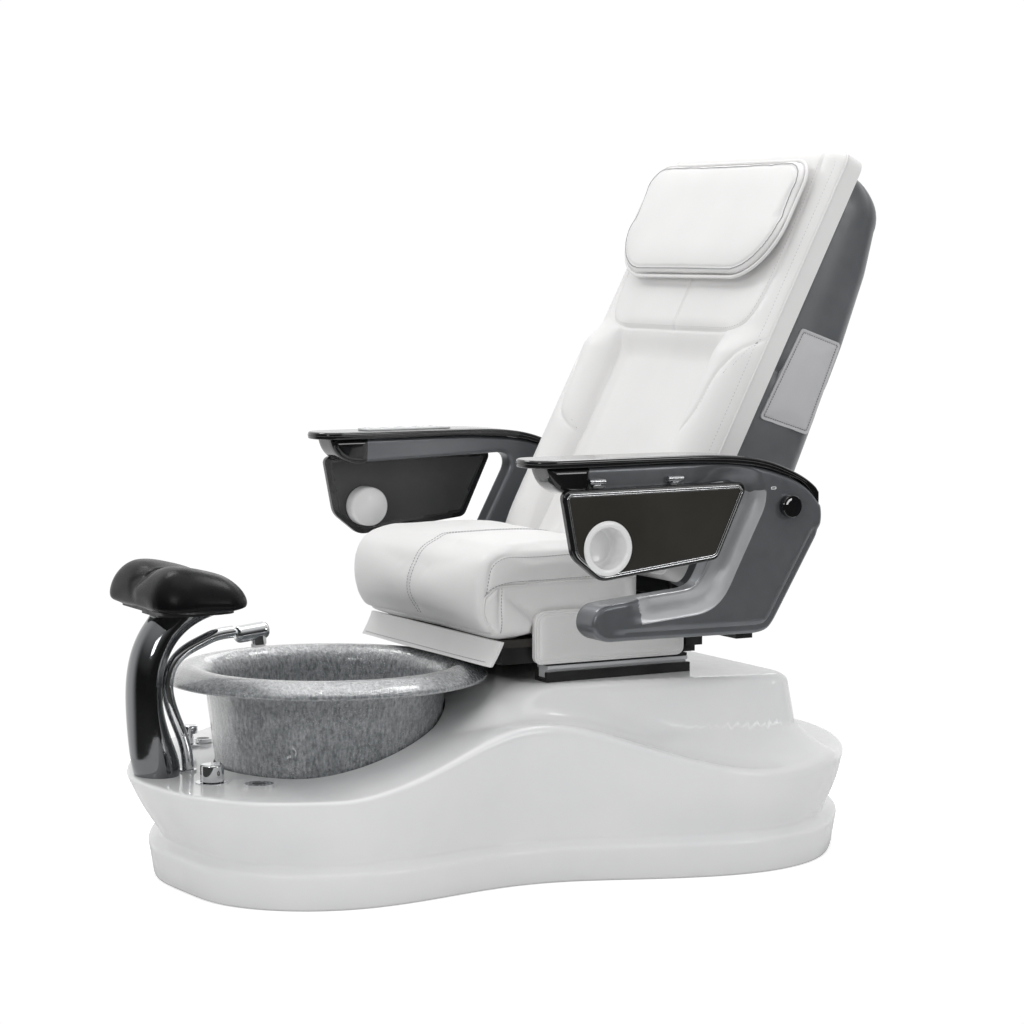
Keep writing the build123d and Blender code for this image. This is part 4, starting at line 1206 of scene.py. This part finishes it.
def apron():
    """Leather flap under the seat's front edge: its lower edge swings out and flares at the ends."""
    rows = 16
    cols = 60
    outer, inner = [], []
    for i in range(rows + 1):
        f = i / rows
        z = 0.4196 - 0.0450 * f
        for k in range(cols + 1):
            x = -0.262 + 0.524 * k / cols
            u = abs(x) / 0.262
            y = -0.1085 - 0.016 * f ** 1.3 - 0.006 * f * u ** 6 + 0.0016 * math.sin(x * 21) * f
            drop = 0.0025 * f * (1 - u ** 4)
            outer.append(P(x, y - 0.0030, z - drop + 0.0025 * f))
            inner.append(P(x, y + 0.0030, z - drop + 0.0025 * f))
    w = cols + 1
    verts = outer + inner
    base = len(outer)
    faces = []
    for i in range(rows):
        for k in range(cols):
            a = i * w + k
            faces.append((a, a + w, a + w + 1, a + 1))
            faces.append((base + a, base + a + 1, base + a + w + 1, base + a + w))
    for k in range(cols):
        faces.append((k, k + 1, base + k + 1, base + k))
        a = rows * w + k
        faces.append((a, base + a, base + a + 1, a + 1))
    for i in range(rows):
        a = i * w
        faces.append((a, base + a, base + a + w, a + w))
        b = a + cols
        faces.append((b, b + w, base + b + w, base + b))
    piece = new_piece("apron_flap", verts, faces, "white_leather", "carriage", "white_leather", sharp=60)
    hem = [P(x, -0.1265, 0.3815) for x in np.linspace(-0.255, 0.255, 40)]
    stitches("apron_stitches", piece, [hem], "carriage", "white_leather")
    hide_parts("seat_apron")


def footrest():
    """Saddle-shaped black pad with two lobes, high in front and sloping towards the seat."""
    half, near, far = 0.1550, -0.5260, -0.7065
    outline = rounded([(-half, far, 0.064), (half, far, 0.064), (half, near, 0.058), (-half, near, 0.058)])

    def front(uv, d):
        x, y = uv[:, 0], uv[:, 1]
        run = (y - far) / (near - far)
        crest = 0.067 * (1 - 0.36 * ease(run, 0.30, 1.05))
        lobes = 1 - (0.17 - 0.08 * run) * np.exp(-(x / 0.036) ** 2) - 0.10 * ease(np.abs(x), 0.085, 0.155)
        round_off = np.sqrt(np.clip(1 - (1 - np.clip(d / 0.056, 0, 1)) ** 2, 0, 1))
        return 0.4930 + crest * lobes * round_off

    def rear(uv, d):
        return 0.4915 - 0.0020 * np.sqrt(np.clip(1 - (1 - np.clip(d / 0.018, 0, 1)) ** 2, 0, 1))

    verts, faces = slab([outline], front, rear, lambda x, y, z: P(x, y, z), 0.007,
                        rims=(0.001, 0.003, 0.006, 0.010, 0.015), steps=2)
    piece = new_piece("footrest_pad_cover", verts, faces, "black_leather", "base", "black_leather", sharp=None)
    inflate(piece, 0.0045, 3.5, 0.004)
    middle, _ = settled(piece, [P(0, y, 0.57) for y in np.linspace(-0.695, -0.540, 24)])
    pinch(piece, [middle], 0.0036, 0.0048)
    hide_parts("footrest_pad")


seat()
skirt(1)
skirt(-1)
apron()
footrest()


# ---- backrest ---------------------------------------------------------------------------
def mirror_x(line):
    return [(-x, s) for x, s in line]


PANEL = spline([(-0.2520, 0.880), (-0.2620, 0.760), (-0.2630, 0.640), (-0.2560, 0.555), (-0.2400, 0.517),
                (-0.2050, 0.499), (-0.1500, 0.4955), (0.0, 0.4950), (0.1500, 0.4955), (0.2050, 0.499),
                (0.2400, 0.517), (0.2560, 0.555), (0.2630, 0.640), (0.2620, 0.760), (0.2520, 0.880)], 6)
VALLEY = spline([(0.1890, 0.482), (0.1840, 0.440), (0.1830, 0.380), (0.1830, 0.300), (0.1850, 0.200), (0.1880, 0.025)], 6)
BOLSTER = spline([(0.3040, 0.492), (0.2900, 0.475), (0.2700, 0.436), (0.2550, 0.400), (0.2480, 0.360),
                  (0.2420, 0.320), (0.2300, 0.295), (0.2120, 0.279), (0.1900, 0.267)], 6)


def back_front(uv, d):
    """Front surface of the pad: flat upper panel, hollow lower panel between two long bolsters."""
    x, s = np.abs(uv[:, 0]), uv[:, 1]
    low = 1 - ease(s, 0.440, 0.515)
    seat_end = ease(s, 0.0, 0.10)
    hollow = 0.026 * (1 - ease(x, 0.150, 0.205))
    across = np.clip((x - 0.185) / 0.118, 0, 1)
    roll = np.sin(math.pi * np.clip(across, 0, 1) ** 0.85) ** 0.8
    roll_at = 0.006 - 0.034 * roll
    lower = np.where(x < 0.185, hollow, roll_at * (1 - 0.0 * s))
    lower = lower * low * (0.55 + 0.45 * seat_end)
    upper_panel = -0.0035 * np.sqrt(np.clip(1 - (x / 0.262) ** 4, 0, 1))
    edge_band = 0.010 * ease(x, 0.258, 0.300)
    upper = np.where(x < 0.262, upper_panel, edge_band)
    t = lower + upper * (1 - low) * 1.0
    line = np.minimum(reach(uv, PANEL), 1.0)
    t = t + 0.0042 * np.exp(-(line / 0.0034) ** 2) + 0.0014 * np.exp(-(line / 0.011) ** 2)
    fold = np.stack([x, s], axis=1)
    valley = reach(fold, VALLEY)
    t = t + 0.0060 * np.exp(-(valley / 0.0050) ** 2)
    seam = reach(fold, BOLSTER)
    t = t + 0.0032 * np.exp(-(seam / 0.0030) ** 2) + 0.0010 * np.exp(-(seam / 0.010) ** 2)
    middle = reach(uv, [(0.0, 0.600), (0.0, 0.4965)])
    t = t + 0.0034 * np.exp(-(middle / 0.0034) ** 2)
    creases = np.zeros(len(uv))
    for i, (u, v) in enumerate(uv):
        creases[i] = noise.noise(Vector((u * 9, v * 7, 0.3))) * 0.0022 + noise.noise(Vector((u * 26, v * 16, 1.3))) * 0.0007
    t = t + creases * ease(d, 0.01, 0.05)
    drop = 0.0225 - t
    rim = np.sqrt(np.clip(1 - (1 - np.clip(d / 0.030, 0, 1)) ** 2, 0, 1))
    return 0.0225 - drop * rim


def back_pad():
    outline = rounded([(-0.303, 0.020, 0.020), (0.303, 0.020, 0.020), (0.303, 0.879, 0.028), (-0.303, 0.879, 0.028)])

    def place(x, s, t):
        return back(x, s, t)

    def rear(uv, d):
        return np.full(len(uv), 0.0595)

    lines = [(PANEL, 0.004), (VALLEY, 0.005), (mirror_x(VALLEY), 0.005), (BOLSTER, 0.0035),
             (mirror_x(BOLSTER), 0.0035), ([(0.0, 0.600), (0.0, 0.4965)], 0.0035)]
    verts, faces = slab([outline], back_front, rear, place, 0.0085,
                        rims=(0.0008, 0.0022, 0.0045, 0.008, 0.012, 0.018, 0.025), lines=lines, steps=5)
    faces = [f[::-1] for f in faces]
    piece = new_piece("back_pad", verts, faces, "white_leather", "backrest", "white_leather", sharp=60)
    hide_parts("back_cushion")
    rim = [back(x, s, 0.0235) for x, s in outline]
    piping("back_piping", rim, 0.0024, "backrest", "white_leather", closed=True)
    rows = []
    for line in (PANEL, BOLSTER, mirror_x(BOLSTER)):
        flat = [back(x, s, 0.0) for x, s in line]
        normal = (back(0, 0, 1) - back(0, 0, 0)).normalized()
        rows.append(beside(flat, 0.0055, normal))
    for off in (-0.0052, 0.0052):
        rows.append([back(off, s, 0.0) for s in np.linspace(0.4995, 0.600, 12)])
    edge_line = [(x * 0.955, 0.45 + (s - 0.45) * 0.970) for x, s in outline]
    rows.append([back(x, s, 0.01) for x, s in edge_line + edge_line[:1]])
    stitches("back_stitches", piece, rows, "backrest", "white_leather", pitch=0.0072, long=0.0046)
    return piece


PILLOW = [(-0.2740, 0.594, 0.120), (0.2740, 0.594, 0.120), (0.2740, 0.8355, 0.052), (-0.2740, 0.8355, 0.052)]


def pillow():
    outline = rounded(PILLOW, 0.005)
    inner = outline * 1.0

    def front(uv, d):
        dome = np.sqrt(np.clip(1 - (1 - np.clip(d / 0.060, 0, 1)) ** 2, 0, 1))
        return -0.0260 - 0.0125 * dome

    def rear(uv, d):
        dome = np.sqrt(np.clip(1 - (1 - np.clip(d / 0.020, 0, 1)) ** 2, 0, 1))
        return -0.0225 + 0.0030 * dome

    verts, faces = slab([outline], front, rear, back, 0.0075, rims=(0.001, 0.003, 0.007, 0.013, 0.022), steps=2)
    faces = [f[::-1] for f in faces]
    piece = new_piece("pillow_cover", verts, faces, "white_leather", "pillow", "white_leather", sharp=None)
    inflate(piece, 0.0045, 3.0, 0.0035)
    ring = [back(x, s, -0.0243) for x, s in outline]
    spots, _ = settled(piece, ring + ring[:1], 0.0, 0.004)
    inset = [back(x * 0.962, 0.714 + (s - 0.714) * 0.925, -0.05) for x, s in outline]
    lines = [[Vector(p) for p in inset + inset[:1]]]
    spots2, _ = settled(piece, lines[0], 0.0, 0.003)
    pinch(piece, [spots2], 0.0017, 0.0022)
    piping("pillow_piping", ring, 0.0034, "pillow", "white_leather", closed=True, sides=10)
    line = [back(x * 0.977, 0.714 + (s - 0.714) * 0.955, -0.05) for x, s in outline]
    welt, _ = settled(piece, line + line[:1], 0.0002, 0.004)
    verts, faces = tube(welt[:-1], 0.0010, 6, True)
    new_piece("pillow_welt", verts, faces, "thread", "pillow", "white_leather", sharp=60)
    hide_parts("head_pillow")


def section(s, rear_t, half, drop=0.0):
    """Open U section of the rear cover: from the left front edge round the rear to the right."""
    front_t = 0.062
    r = min(0.028, (rear_t - front_t) * 0.45)
    pts = [(half - 0.004, front_t)]
    pts += [(half + 0.004 * math.sin(math.pi * f), front_t + (rear_t - r - front_t) * f) for f in np.linspace(0.08, 1, 14)]
    for a in np.linspace(0, math.pi / 2, 9)[1:]:
        pts.append((half - r + r * math.cos(a), rear_t - r + r * math.sin(a)))
    flat = half - r
    pts += [(flat * (1 - f), rear_t + 0.004 * math.sin(math.pi * f / 2)) for f in np.linspace(0, 1, 16)[1:]]
    right = [(-x, t) for x, t in reversed(pts[:-1])]
    return [(x, s, t) for x, t in pts + right]


def rear_cover():
    s_keys = [0.026, 0.300, 0.560, 0.700, 0.800, 0.846]
    t_keys = [0.205, 0.204, 0.189, 0.173, 0.150, 0.128]
    rows = []
    for s in np.linspace(0.030, 0.780, 84):
        t = float(np.interp(s, s_keys, t_keys))
        dip = 0.0042 * math.exp(-((s - 0.452) / 0.0045) ** 2) + 0.0030 * math.exp(-((s - 0.452) / 0.016) ** 2)
        dip += 0.0042 * math.exp(-((s - 0.185) / 0.0045) ** 2)
        rows.append(section(s, t - dip, 0.2785 - dip))
    top_s, top_t = 0.780, float(np.interp(0.780, s_keys, t_keys))
    for a in np.linspace(0, math.pi / 2, 14)[1:]:
        s = top_s + 0.068 * math.sin(a)
        t = 0.064 + (top_t - 0.064) * max(0.012, math.cos(a)) ** 0.8
        rows.append(section(s, t, 0.2785 - 0.030 * (1 - math.cos(a))))
    start = []
    first = rows[0]
    for f, inset in ((0.0, 0.012), (0.6, 0.004)):
        start.append([(x * (1 - inset / 0.28), 0.026 + 0.004 * f, 0.062 + (t - 0.062) * (1 - inset / 0.15)) for x, s, t in first])
    rows = start + rows
    n = len(rows[0])
    verts = [back(*p) for row in rows for p in row]
    faces = []
    for i in range(len(rows) - 1):
        for k in range(n - 1):
            a = i * n + k
            faces.append((a, a + n, a + n + 1, a + 1))
    piece = new_piece("rear_cover", verts, faces, "grey_leather", "backrest", "grey_leather", sharp=None)
    thick = piece.modifiers.new("thick", "SOLIDIFY")
    thick.thickness = 0.009
    thick.offset = -1.0
    bpy.context.view_layer.objects.active = piece
    bpy.ops.object.modifier_apply(modifier=thick.name)
    piece.data.polygons.foreach_set("use_smooth", [True] * len(piece.data.polygons))
    piece.data.set_sharp_from_angle(angle=math.radians(50))
    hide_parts("back_shell")
    rowset = []
    for s in (0.446, 0.458):
        t = float(np.interp(s, s_keys, t_keys))
        rowset.append([back(x, s, tt) for x, _, tt in section(s, t, 0.2785)])
    stitches("cover_stitches", piece, rowset, "backrest", "grey_leather", "dark_thread")


def pocket():
    """Remote pocket hung on the cover's left side."""
    outline = rounded([(0.408, 0.803, 0.006), (0.514, 0.769, 0.007), (0.586, 0.936, 0.006), (0.500, 0.966, 0.005)], 0.005)

    def front(uv, d):
        bulge = 0.0045 * ease(d, 0.004, 0.035)
        hem = 0.0012 * np.exp(-((d - 0.0055) / 0.0015) ** 2)
        return 0.2930 + bulge - hem

    def rear(uv, d):
        return np.full(len(uv), 0.2850)

    verts, faces = slab([outline], front, rear, lambda y, z, x: P(x, y, z), 0.007,
                        rims=(0.0008, 0.0025, 0.004, 0.0055, 0.007, 0.012), steps=2)
    piece = new_piece("side_pocket", verts, faces, "pocket_grey", "backrest", "pocket_grey")
    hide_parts("remote_pocket")
    mid = outline.mean(axis=0)
    hem = []
    n = outward(anticlockwise(outline))
    ring = anticlockwise(outline) - n * 0.0058
    hem = [P(0.2940, y, z) for y, z in ring]
    stitches("pocket_stitches", piece, [hem + hem[:1]], "backrest", "pocket_grey", "dark_thread", pitch=0.0052, long=0.0034)


back_pad()
pillow()
rear_cover()
pocket()


# ---- arms -------------------------------------------------------------------------------
ARM_IN, ARM_OUT = 0.400, 0.468
TRAY_X = 0.472
TRAY_T = 0.014
CUP_Y, CUP_Z = -0.025, 0.602
KNOB_Y, KNOB_Z = 0.355, 0.658


def sided(sx):
    """Placer for (y, z, x) points on the left (+1) or right (-1) of the chair."""
    return lambda y, z, x: P(sx * x, y, z)


def build(name, data, sx, mats, body, slot, sharp=38.0):
    verts, faces = data
    if sx < 0:
        faces = [f[::-1] for f in faces]
    return new_piece(name, verts, faces, mats, body, slot, sharp)


def corner_rim(depth, radius, face, towards):
    """Face height with its edge rounded off towards the other side."""
    return face + towards * ball(depth, radius)


ARM_RUN = {
    "crest": spline([(0.170, 0.741), (0.240, 0.7365), (0.300, 0.728), (0.355, 0.711), (0.400, 0.686), (0.4275, 0.655)], 6),
    "heel": spline([(0.4275, 0.655), (0.4290, 0.635), (0.4200, 0.600)], 5),
    "toe": spline([(0.334, 0.459), (0.318, 0.441), (0.290, 0.434)], 5),
    "nose": spline([(0.000, 0.4365), (-0.026, 0.4420), (-0.0410, 0.4600), (-0.0400, 0.4800), (-0.0270, 0.4965), (-0.004, 0.5025)], 6),
    "bend": spline([(0.160, 0.517), (0.180, 0.5235), (0.195, 0.541), (0.207, 0.564)], 5),
    "crook": spline([(0.258, 0.660), (0.2655, 0.680), (0.2600, 0.698), (0.240, 0.7035)], 5),
    "prow": spline([(-0.055, 0.6940), (-0.085, 0.6955), (-0.108, 0.7060), (-0.122, 0.7230), (-0.128, 0.7405)], 6),
}
OPEN_SIDE = np.vstack([ARM_RUN["nose"][6:], ARM_RUN["bend"], ARM_RUN["crook"], [(0.02, 0.6965)]])
LOWER_EDGE = np.vstack([[(0.4200, 0.600)], ARM_RUN["toe"], ARM_RUN["nose"][:8]])


def arm_outline():
    run = [ARM_RUN[k] for k in ("crest", "heel", "toe", "nose", "bend", "crook", "prow")]
    return even(np.vstack(run), 0.0055, True)


SCOOP_WIDE = 0.043


def scoop_edge(outline):
    """The line on the arm's outer face where the scoop beside the opening ends."""
    line = even(OPEN_SIDE, 0.004)
    run = np.gradient(line, axis=0)
    across = np.stack([-run[:, 1], run[:, 0]], axis=1)
    across /= np.linalg.norm(across, axis=1, keepdims=True)
    both = []
    for way in (-1, 1):
        moved = line + across * SCOOP_WIDE * way
        keep = inside(moved, outline) & (reach(moved, OPEN_SIDE) > SCOOP_WIDE * 0.985)
        both.append(moved[keep])
    return max(both, key=len)


def paint_scoop_highlight(piece):
    """Painted highlight: the scoop beside the opening, which faces the light, gets a lighter copy of the satin
    graphite.
    """
    piece.data.materials.append(MATS["graphite_painted_highlight"])
    spots = np.array([tuple(f.center) for f in piece.data.polygons])
    yz = np.column_stack([spots[:, 1] - MID, spots[:, 2]])
    outer = np.abs(spots[:, 0]) > ARM_OUT - 0.032
    near = reach(yz, OPEN_SIDE) < SCOOP_WIDE
    clear = (ease(yz[:, 0], 0.020, 0.090) + ease(yz[:, 1], 0.56, 0.60) > 0.5) & (yz[:, 1] < 0.687)
    for face, pick in zip(piece.data.polygons, outer & near & clear):
        face.material_index = int(pick)


def arm(sx):
    side = "left" if sx > 0 else "right"
    outline = anticlockwise(arm_outline())

    def front(uv, d):
        y, z = uv[:, 0], uv[:, 1]
        open_by = reach(uv, OPEN_SIDE)
        along = ease(y, 0.020, 0.090) + ease(z, 0.56, 0.60)
        scoop = 0.026 * (1 - ease(open_by, 0.004, 0.043)) * np.clip(along, 0, 1)
        beam = ease(z, 0.680, 0.694) * (1 - ease(y, 0.150, 0.240))
        scoop *= 1 - beam
        low = reach(uv, LOWER_EDGE)
        groove = 0.0016 * np.exp(-((low - 0.019) / 0.0013) ** 2) * ease(y, -0.02, 0.03)
        shallow = 0.0045 * (1 - ease(low, 0.015, 0.019)) * ease(y, -0.02, 0.03)
        step = 0.0012 * np.exp(-((z - 0.7085 + 0.00002 * y) / 0.0010) ** 2) * (1 - ease(y, 0.235, 0.262))
        x = ARM_OUT - scoop - groove - shallow - step
        return corner_rim(d, 0.0085, x, -1)

    def rear(uv, d):
        return corner_rim(d, 0.0085, np.full(len(uv), ARM_IN), 1)

    data = slab([outline], front, rear, sided(sx), 0.0068, lines=[(scoop_edge(outline), 0.0016)],
                rims=(0.0006, 0.002, 0.004, 0.0065, 0.009, 0.015, 0.0177, 0.019, 0.0203), steps=6)
    piece = build("arm_body_" + side, data, sx, "graphite", "carriage", "graphite_shell", 42)
    # painted highlight: lighter graphite on the scoop beside the opening
    paint_scoop_highlight(piece)
    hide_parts("arm_shell_" + side)
    # gloss black nose under the front of the board
    nose = np.vstack([ARM_RUN["prow"], [(-0.050, 0.7405), (-0.052, 0.6935)]])
    nose = anticlockwise(even(nose, 0.004, True))
    nose = nose + outward(nose) * 0.0022
    nose[:, 1] = np.minimum(nose[:, 1], 0.7402)

    def nose_front(uv, d):
        return corner_rim(d, 0.010, np.full(len(uv), ARM_OUT + 0.0025), -1)

    def nose_rear(uv, d):
        return corner_rim(d, 0.010, np.full(len(uv), ARM_IN - 0.0025), 1)

    data = slab([nose], nose_front, nose_rear, sided(sx), 0.006, rims=(0.0006, 0.002, 0.004, 0.007, 0.010), steps=5)
    build("arm_nose_" + side, data, sx, "gloss_black", "carriage", "gloss_black", 45)
    # generic mark beside the knob
    mark = rounded([(0.3180, 0.6885, 0.0016), (0.3290, 0.6885, 0.0016), (0.3290, 0.6935, 0.0016), (0.3180, 0.6935, 0.0016)], 0.0012)
    hole = rounded([(0.3195, 0.6898, 0.0008), (0.3275, 0.6898, 0.0008), (0.3275, 0.6922, 0.0008), (0.3195, 0.6922, 0.0008)], 0.0008)
    data = slab([mark, hole], lambda uv, d: np.full(len(uv), ARM_OUT + 0.0004),
                lambda uv, d: np.full(len(uv), ARM_OUT - 0.0008), sided(sx), 0.0015, steps=1)
    build("arm_mark_" + side, data, sx, "white_plastic", "carriage", "clear_white", 30)


def board(sx):
    """Gloss top board with a softened edge, following the arm's crest down behind."""
    side = "left" if sx > 0 else "right"
    left = spline([(0.376, -0.118), (0.379, 0.040), (0.383, 0.200), (0.393, 0.320), (0.404, 0.4235)], 8)
    right = spline([(0.464, 0.4235), (0.472, 0.320), (0.476, 0.200), (0.476, 0.040), (0.476, -0.118)], 8)
    nose = spline([(0.476, -0.118), (0.4705, -0.1420), (0.452, -0.1570), (0.426, -0.1620), (0.400, -0.1570),
                   (0.3815, -0.1420), (0.376, -0.118)], 6)
    outline = anticlockwise(even(np.vstack([left, right, nose]), 0.0055, True))
    top_line = spline([(-0.200, 0.7552), (0.0, 0.7552), (0.120, 0.7550), (0.170, 0.7545), (0.240, 0.7510),
                       (0.306, 0.7410), (0.360, 0.7225), (0.405, 0.6990), (0.4275, 0.6780), (0.4385, 0.6560)], 10)
    under_line = spline([(-0.200, 0.7412), (0.0, 0.7412), (0.170, 0.7412), (0.240, 0.7368), (0.300, 0.7283),
                         (0.355, 0.7115), (0.400, 0.6865), (0.4280, 0.6552), (0.4385, 0.6545)], 10)

    def top(uv, d):
        z = np.interp(uv[:, 1], top_line[:, 0], top_line[:, 1])
        return z - ball(d, 0.0052) * 0.9

    def under(uv, d):
        z = np.interp(uv[:, 1], under_line[:, 0], under_line[:, 1])
        return np.minimum(z + ball(d, 0.004) * 0.6, top(uv, d) - 0.0006)

    data = slab([outline], top, under, lambda x, y, z: P(sx * x, y, z), 0.0075,
                rims=(0.0005, 0.0014, 0.0028, 0.0045, 0.007), steps=4)
    piece = build("top_board_" + side, data, sx, "gloss_black", "carriage", "gloss_black", 50)
    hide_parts("arm_board_" + side)
    # a fine seam runs round the board above its soft lower edge
    line = [P(sx * x, y, float(np.interp(y, top_line[:, 0], top_line[:, 1])) - 0.0072) for x, y in outline if y < 0.40]
    first = max(range(len(line)), key=lambda i: (line[i] - line[i - 1]).length)
    line = line[first:] + line[:first]
    verts, faces = tube(line, 0.0006, 6)
    new_piece("board_seam_" + side, verts, faces, "dark_plastic", "carriage", "gloss_black", sharp=60)


def keypad():
    """Control pad on the right board: a soft-edged plate with rows of blank keys."""
    plate = rounded([(-0.449, -0.054, 0.011), (-0.399, -0.054, 0.011), (-0.399, 0.134, 0.011), (-0.449, 0.134, 0.011)], 0.004)
    data = slab([plate], lambda uv, d: 0.7590 - ball(d, 0.002), lambda uv, d: np.full(len(uv), 0.7556),
                lambda x, y, z: P(x, y, z), 0.006, rims=(0.0004, 0.001, 0.002), steps=2)
    piece = new_piece("key_plate", *data, "silver", "carriage", "silver_panel")
    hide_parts("arm_keypad")
    keys = []
    for row in range(5):
        for col in range(2):
            x, y = -0.4355 + 0.023 * col, -0.032 + 0.036 * row
            r = 0.0072
            key = rounded([(x - r, y - r * 1.25, 0.003), (x + r, y - r * 1.25, 0.003),
                           (x + r, y + r * 1.25, 0.003), (x - r, y + r * 1.25, 0.003)], 0.002)
            keys.append(slab([key], lambda uv, d: 0.7605 - ball(d, 0.0012), lambda uv, d: np.full(len(uv), 0.7582),
                             lambda u, v, w: P(u, v, w), 0.004, rims=(0.0004, 0.0012), steps=1))
    verts, faces = joined(keys)
    new_piece("key_caps", verts, faces, "white_plastic", "carriage", "silver_panel")


def tray_outline():
    return rounded([(-0.114, 0.703, 0.013), (-0.092, 0.588, 0.036), (-0.038, 0.545, 0.036), (0.198, 0.572, 0.018),
                    (0.262, 0.706, 0.013)], 0.005)


def ring_of(y, z, r, count=56):
    a = np.linspace(0, 2 * math.pi, count + 1)[:-1]
    return np.stack([y + r * np.cos(a), z + r * np.sin(a)], axis=1)


def tray(sx):
    """Fold-down side table: black frame, bright double bead, warm grey gloss face."""
    side = "left" if sx > 0 else "right"
    outline = anticlockwise(tray_outline())
    hole = ring_of(CUP_Y, CUP_Z, 0.0397)
    top = TRAY_X + TRAY_T

    def front(uv, d):
        to_edge = reach(uv, outline, True)
        x = np.full(len(uv), top)
        x = x - 0.0016 * ease(to_edge, 0.0088, 0.0102)
        x = np.where(to_edge < 0.006, corner_rim(to_edge, 0.0045, x, -1), x)
        return x

    def rear(uv, d):
        to_edge = reach(uv, outline, True)
        return np.full(len(uv), TRAY_X) + 0.0018 * (ease(to_edge, 0.010, 0.013))

    data = slab([outline, hole], front, rear, sided(sx), 0.0085,
                rims=(0.0006, 0.0016, 0.003, 0.0045, 0.0088, 0.0095, 0.0102), steps=3)
    piece = build("tray_frame_" + side, data, sx, "gloss_black", "tray_" + side, "tray_face", 40)
    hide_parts("tray_panel_" + side)
    face = shrunk(outline, 0.0108)
    wide = ring_of(CUP_Y, CUP_Z, 0.0405)

    def plate(uv, d):
        return np.full(len(uv), top - 0.0008) - ball(np.minimum(d, 0.001), 0.001) * 0.6

    def plate_back(uv, d):
        return np.full(len(uv), top - 0.0022)

    data = slab([face, wide], plate, plate_back, sided(sx), 0.010, rims=(0.0005, 0.001), steps=1)
    build("tray_plate_" + side, data, sx, "tray_face", "tray_" + side, "tray_face", 40)
    for k, (inset, radius) in enumerate(((0.0062, 0.0011), (0.0094, 0.0008))):
        ring = shrunk(outline, inset, 0.003)
        line = [sided(sx)(y, z, top + (0.0001 if k == 0 else -0.0004)) for y, z in ring]
        verts, faces = tube(even([tuple(p) for p in line], 0.004, True), radius, 8, True)
        new_piece(f"tray_bead_{side}_{k}", verts, faces, "chrome", "tray_" + side, "tray_face", sharp=60)
    # dark panel let into the tray's inner side
    inner = shrunk(outline, 0.0115, 0.006)
    data = slab([inner, ring_of(CUP_Y, CUP_Z, 0.0405)], lambda uv, d: np.full(len(uv), TRAY_X + 0.0022),
                lambda uv, d: np.full(len(uv), TRAY_X + 0.0008), sided(sx), 0.012, steps=1)
    build("tray_lining_" + side, data, sx, "dark_plastic", "tray_" + side, "tray_face", 40)


def cup(sx):
    """Moulded white cup recess: rolled rim, stepped wall, round bottom edge."""
    side = "left" if sx > 0 else "right"
    x0 = TRAY_X + TRAY_T
    rim = [(0.0365, 0.0022), (0.0385, 0.0036), (0.0412, 0.0040), (0.0445, 0.0034), (0.0468, 0.0018), (0.0475, 0.0004)]
    outer = [(0.0470, 0.0003), (0.0395, 0.0002), (0.0392, -0.0020), (0.0390, -0.0300), (0.0380, -0.0400), (0.0345, -0.0438), (0.0, -0.0440)]
    inner = [(0.0, -0.0405), (0.0250, -0.0404), (0.0268, -0.0394), (0.0276, -0.0372), (0.0284, -0.0362),
             (0.0320, -0.0356), (0.0340, -0.0342), (0.0348, -0.0315), (0.0354, -0.0200), (0.0359, -0.0080), (0.0362, -0.0010)]
    profile = rim + outer + inner
    verts, faces = lathe(profile, 96, lambda a, b, h: P(sx * (x0 + h), CUP_Y + a, CUP_Z + b))
    if sx < 0:
        faces = [f[::-1] for f in faces]
    piece = new_piece("cup_recess_" + side, verts, faces, "cup_white", "tray_" + side, "cup_white", 50)
    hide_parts("cup_holder_" + side)


def knob_painted_highlight(sx):
    """Painted highlight: a white crescent on the round knob's face in place of its reflection."""
    side = "left" if sx > 0 else "right"
    arc = []
    for a in np.linspace(math.radians(100), math.radians(165), 14):
        arc.append((KNOB_Y + 0.0150 * math.cos(a), KNOB_Z + 0.0150 * math.sin(a)))
    back_arc = [(KNOB_Y + 0.0115 * math.cos(a), KNOB_Z + 0.0115 * math.sin(a)) for a in np.linspace(math.radians(160), math.radians(105), 12)]
    outline = anticlockwise(even(np.array(arc + back_arc), 0.0012, True))
    face = ARM_OUT + 0.0146
    data = slab([outline], lambda uv, d: face + 0.0006 - ball(np.minimum(d, 0.0004), 0.0004),
                lambda uv, d: np.full(len(uv), face - 0.0006), sided(sx), 0.0016, steps=1)
    # the white crescent is a painted highlight, not a printed mark
    build("knob_painted_highlight_" + side, data, sx, "white_plastic", "knob_" + side, "clear_white", 40)


for turn in (1, -1):
    arm(turn)
    board(turn)
    tray(turn)
    cup(turn)
    knob_painted_highlight(turn)
keypad()


# ---- carried-over CAD nodes --------------------------------------------------------------
FINISHES = {
    # the column's chrome is darkened in colour: painted dark reflection
    "chrome_painted_dark": ["footrest_column"],
    "chrome": ["spout_pipe", "spray_head", "mixer_knob", "diverter_handle",
               "button_bezels", "deck_escutcheons", "bowl_drain"],
    "steel": ["levelling_feet", "massage_track", "massage_rollers", "recline_rod", "jet_impeller",
              "tray_hinge_fixed_left", "tray_hinge_fixed_right", "tray_hinge_moving_left",
              "tray_hinge_moving_right"],
    "brass": ["mixer_body"],
    "black_steel": ["base_frame", "rail_outer", "seat_frame", "arm_brackets", "back_frame",
                    "footrest_plate", "slide_actuator", "recline_actuator"],
    "silver": ["rail_inner"],
    "gloss_black": ["arm_knob_left", "arm_knob_right"],
    "white_plastic": ["spray_outlet", "jet_housing", "jet_cover"],
    "dark_plastic": ["air_button", "drain_button", "control_box", "bowl_cradle", "massage_carriage",
                     "drain_pump"],
    "plywood": ["seat_pan"],
}


def dress():
    for key, names in FINISHES.items():
        for name in names:
            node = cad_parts[name]
            node.data.materials.clear()
            node.data.materials.append(MATS[key])


dress()
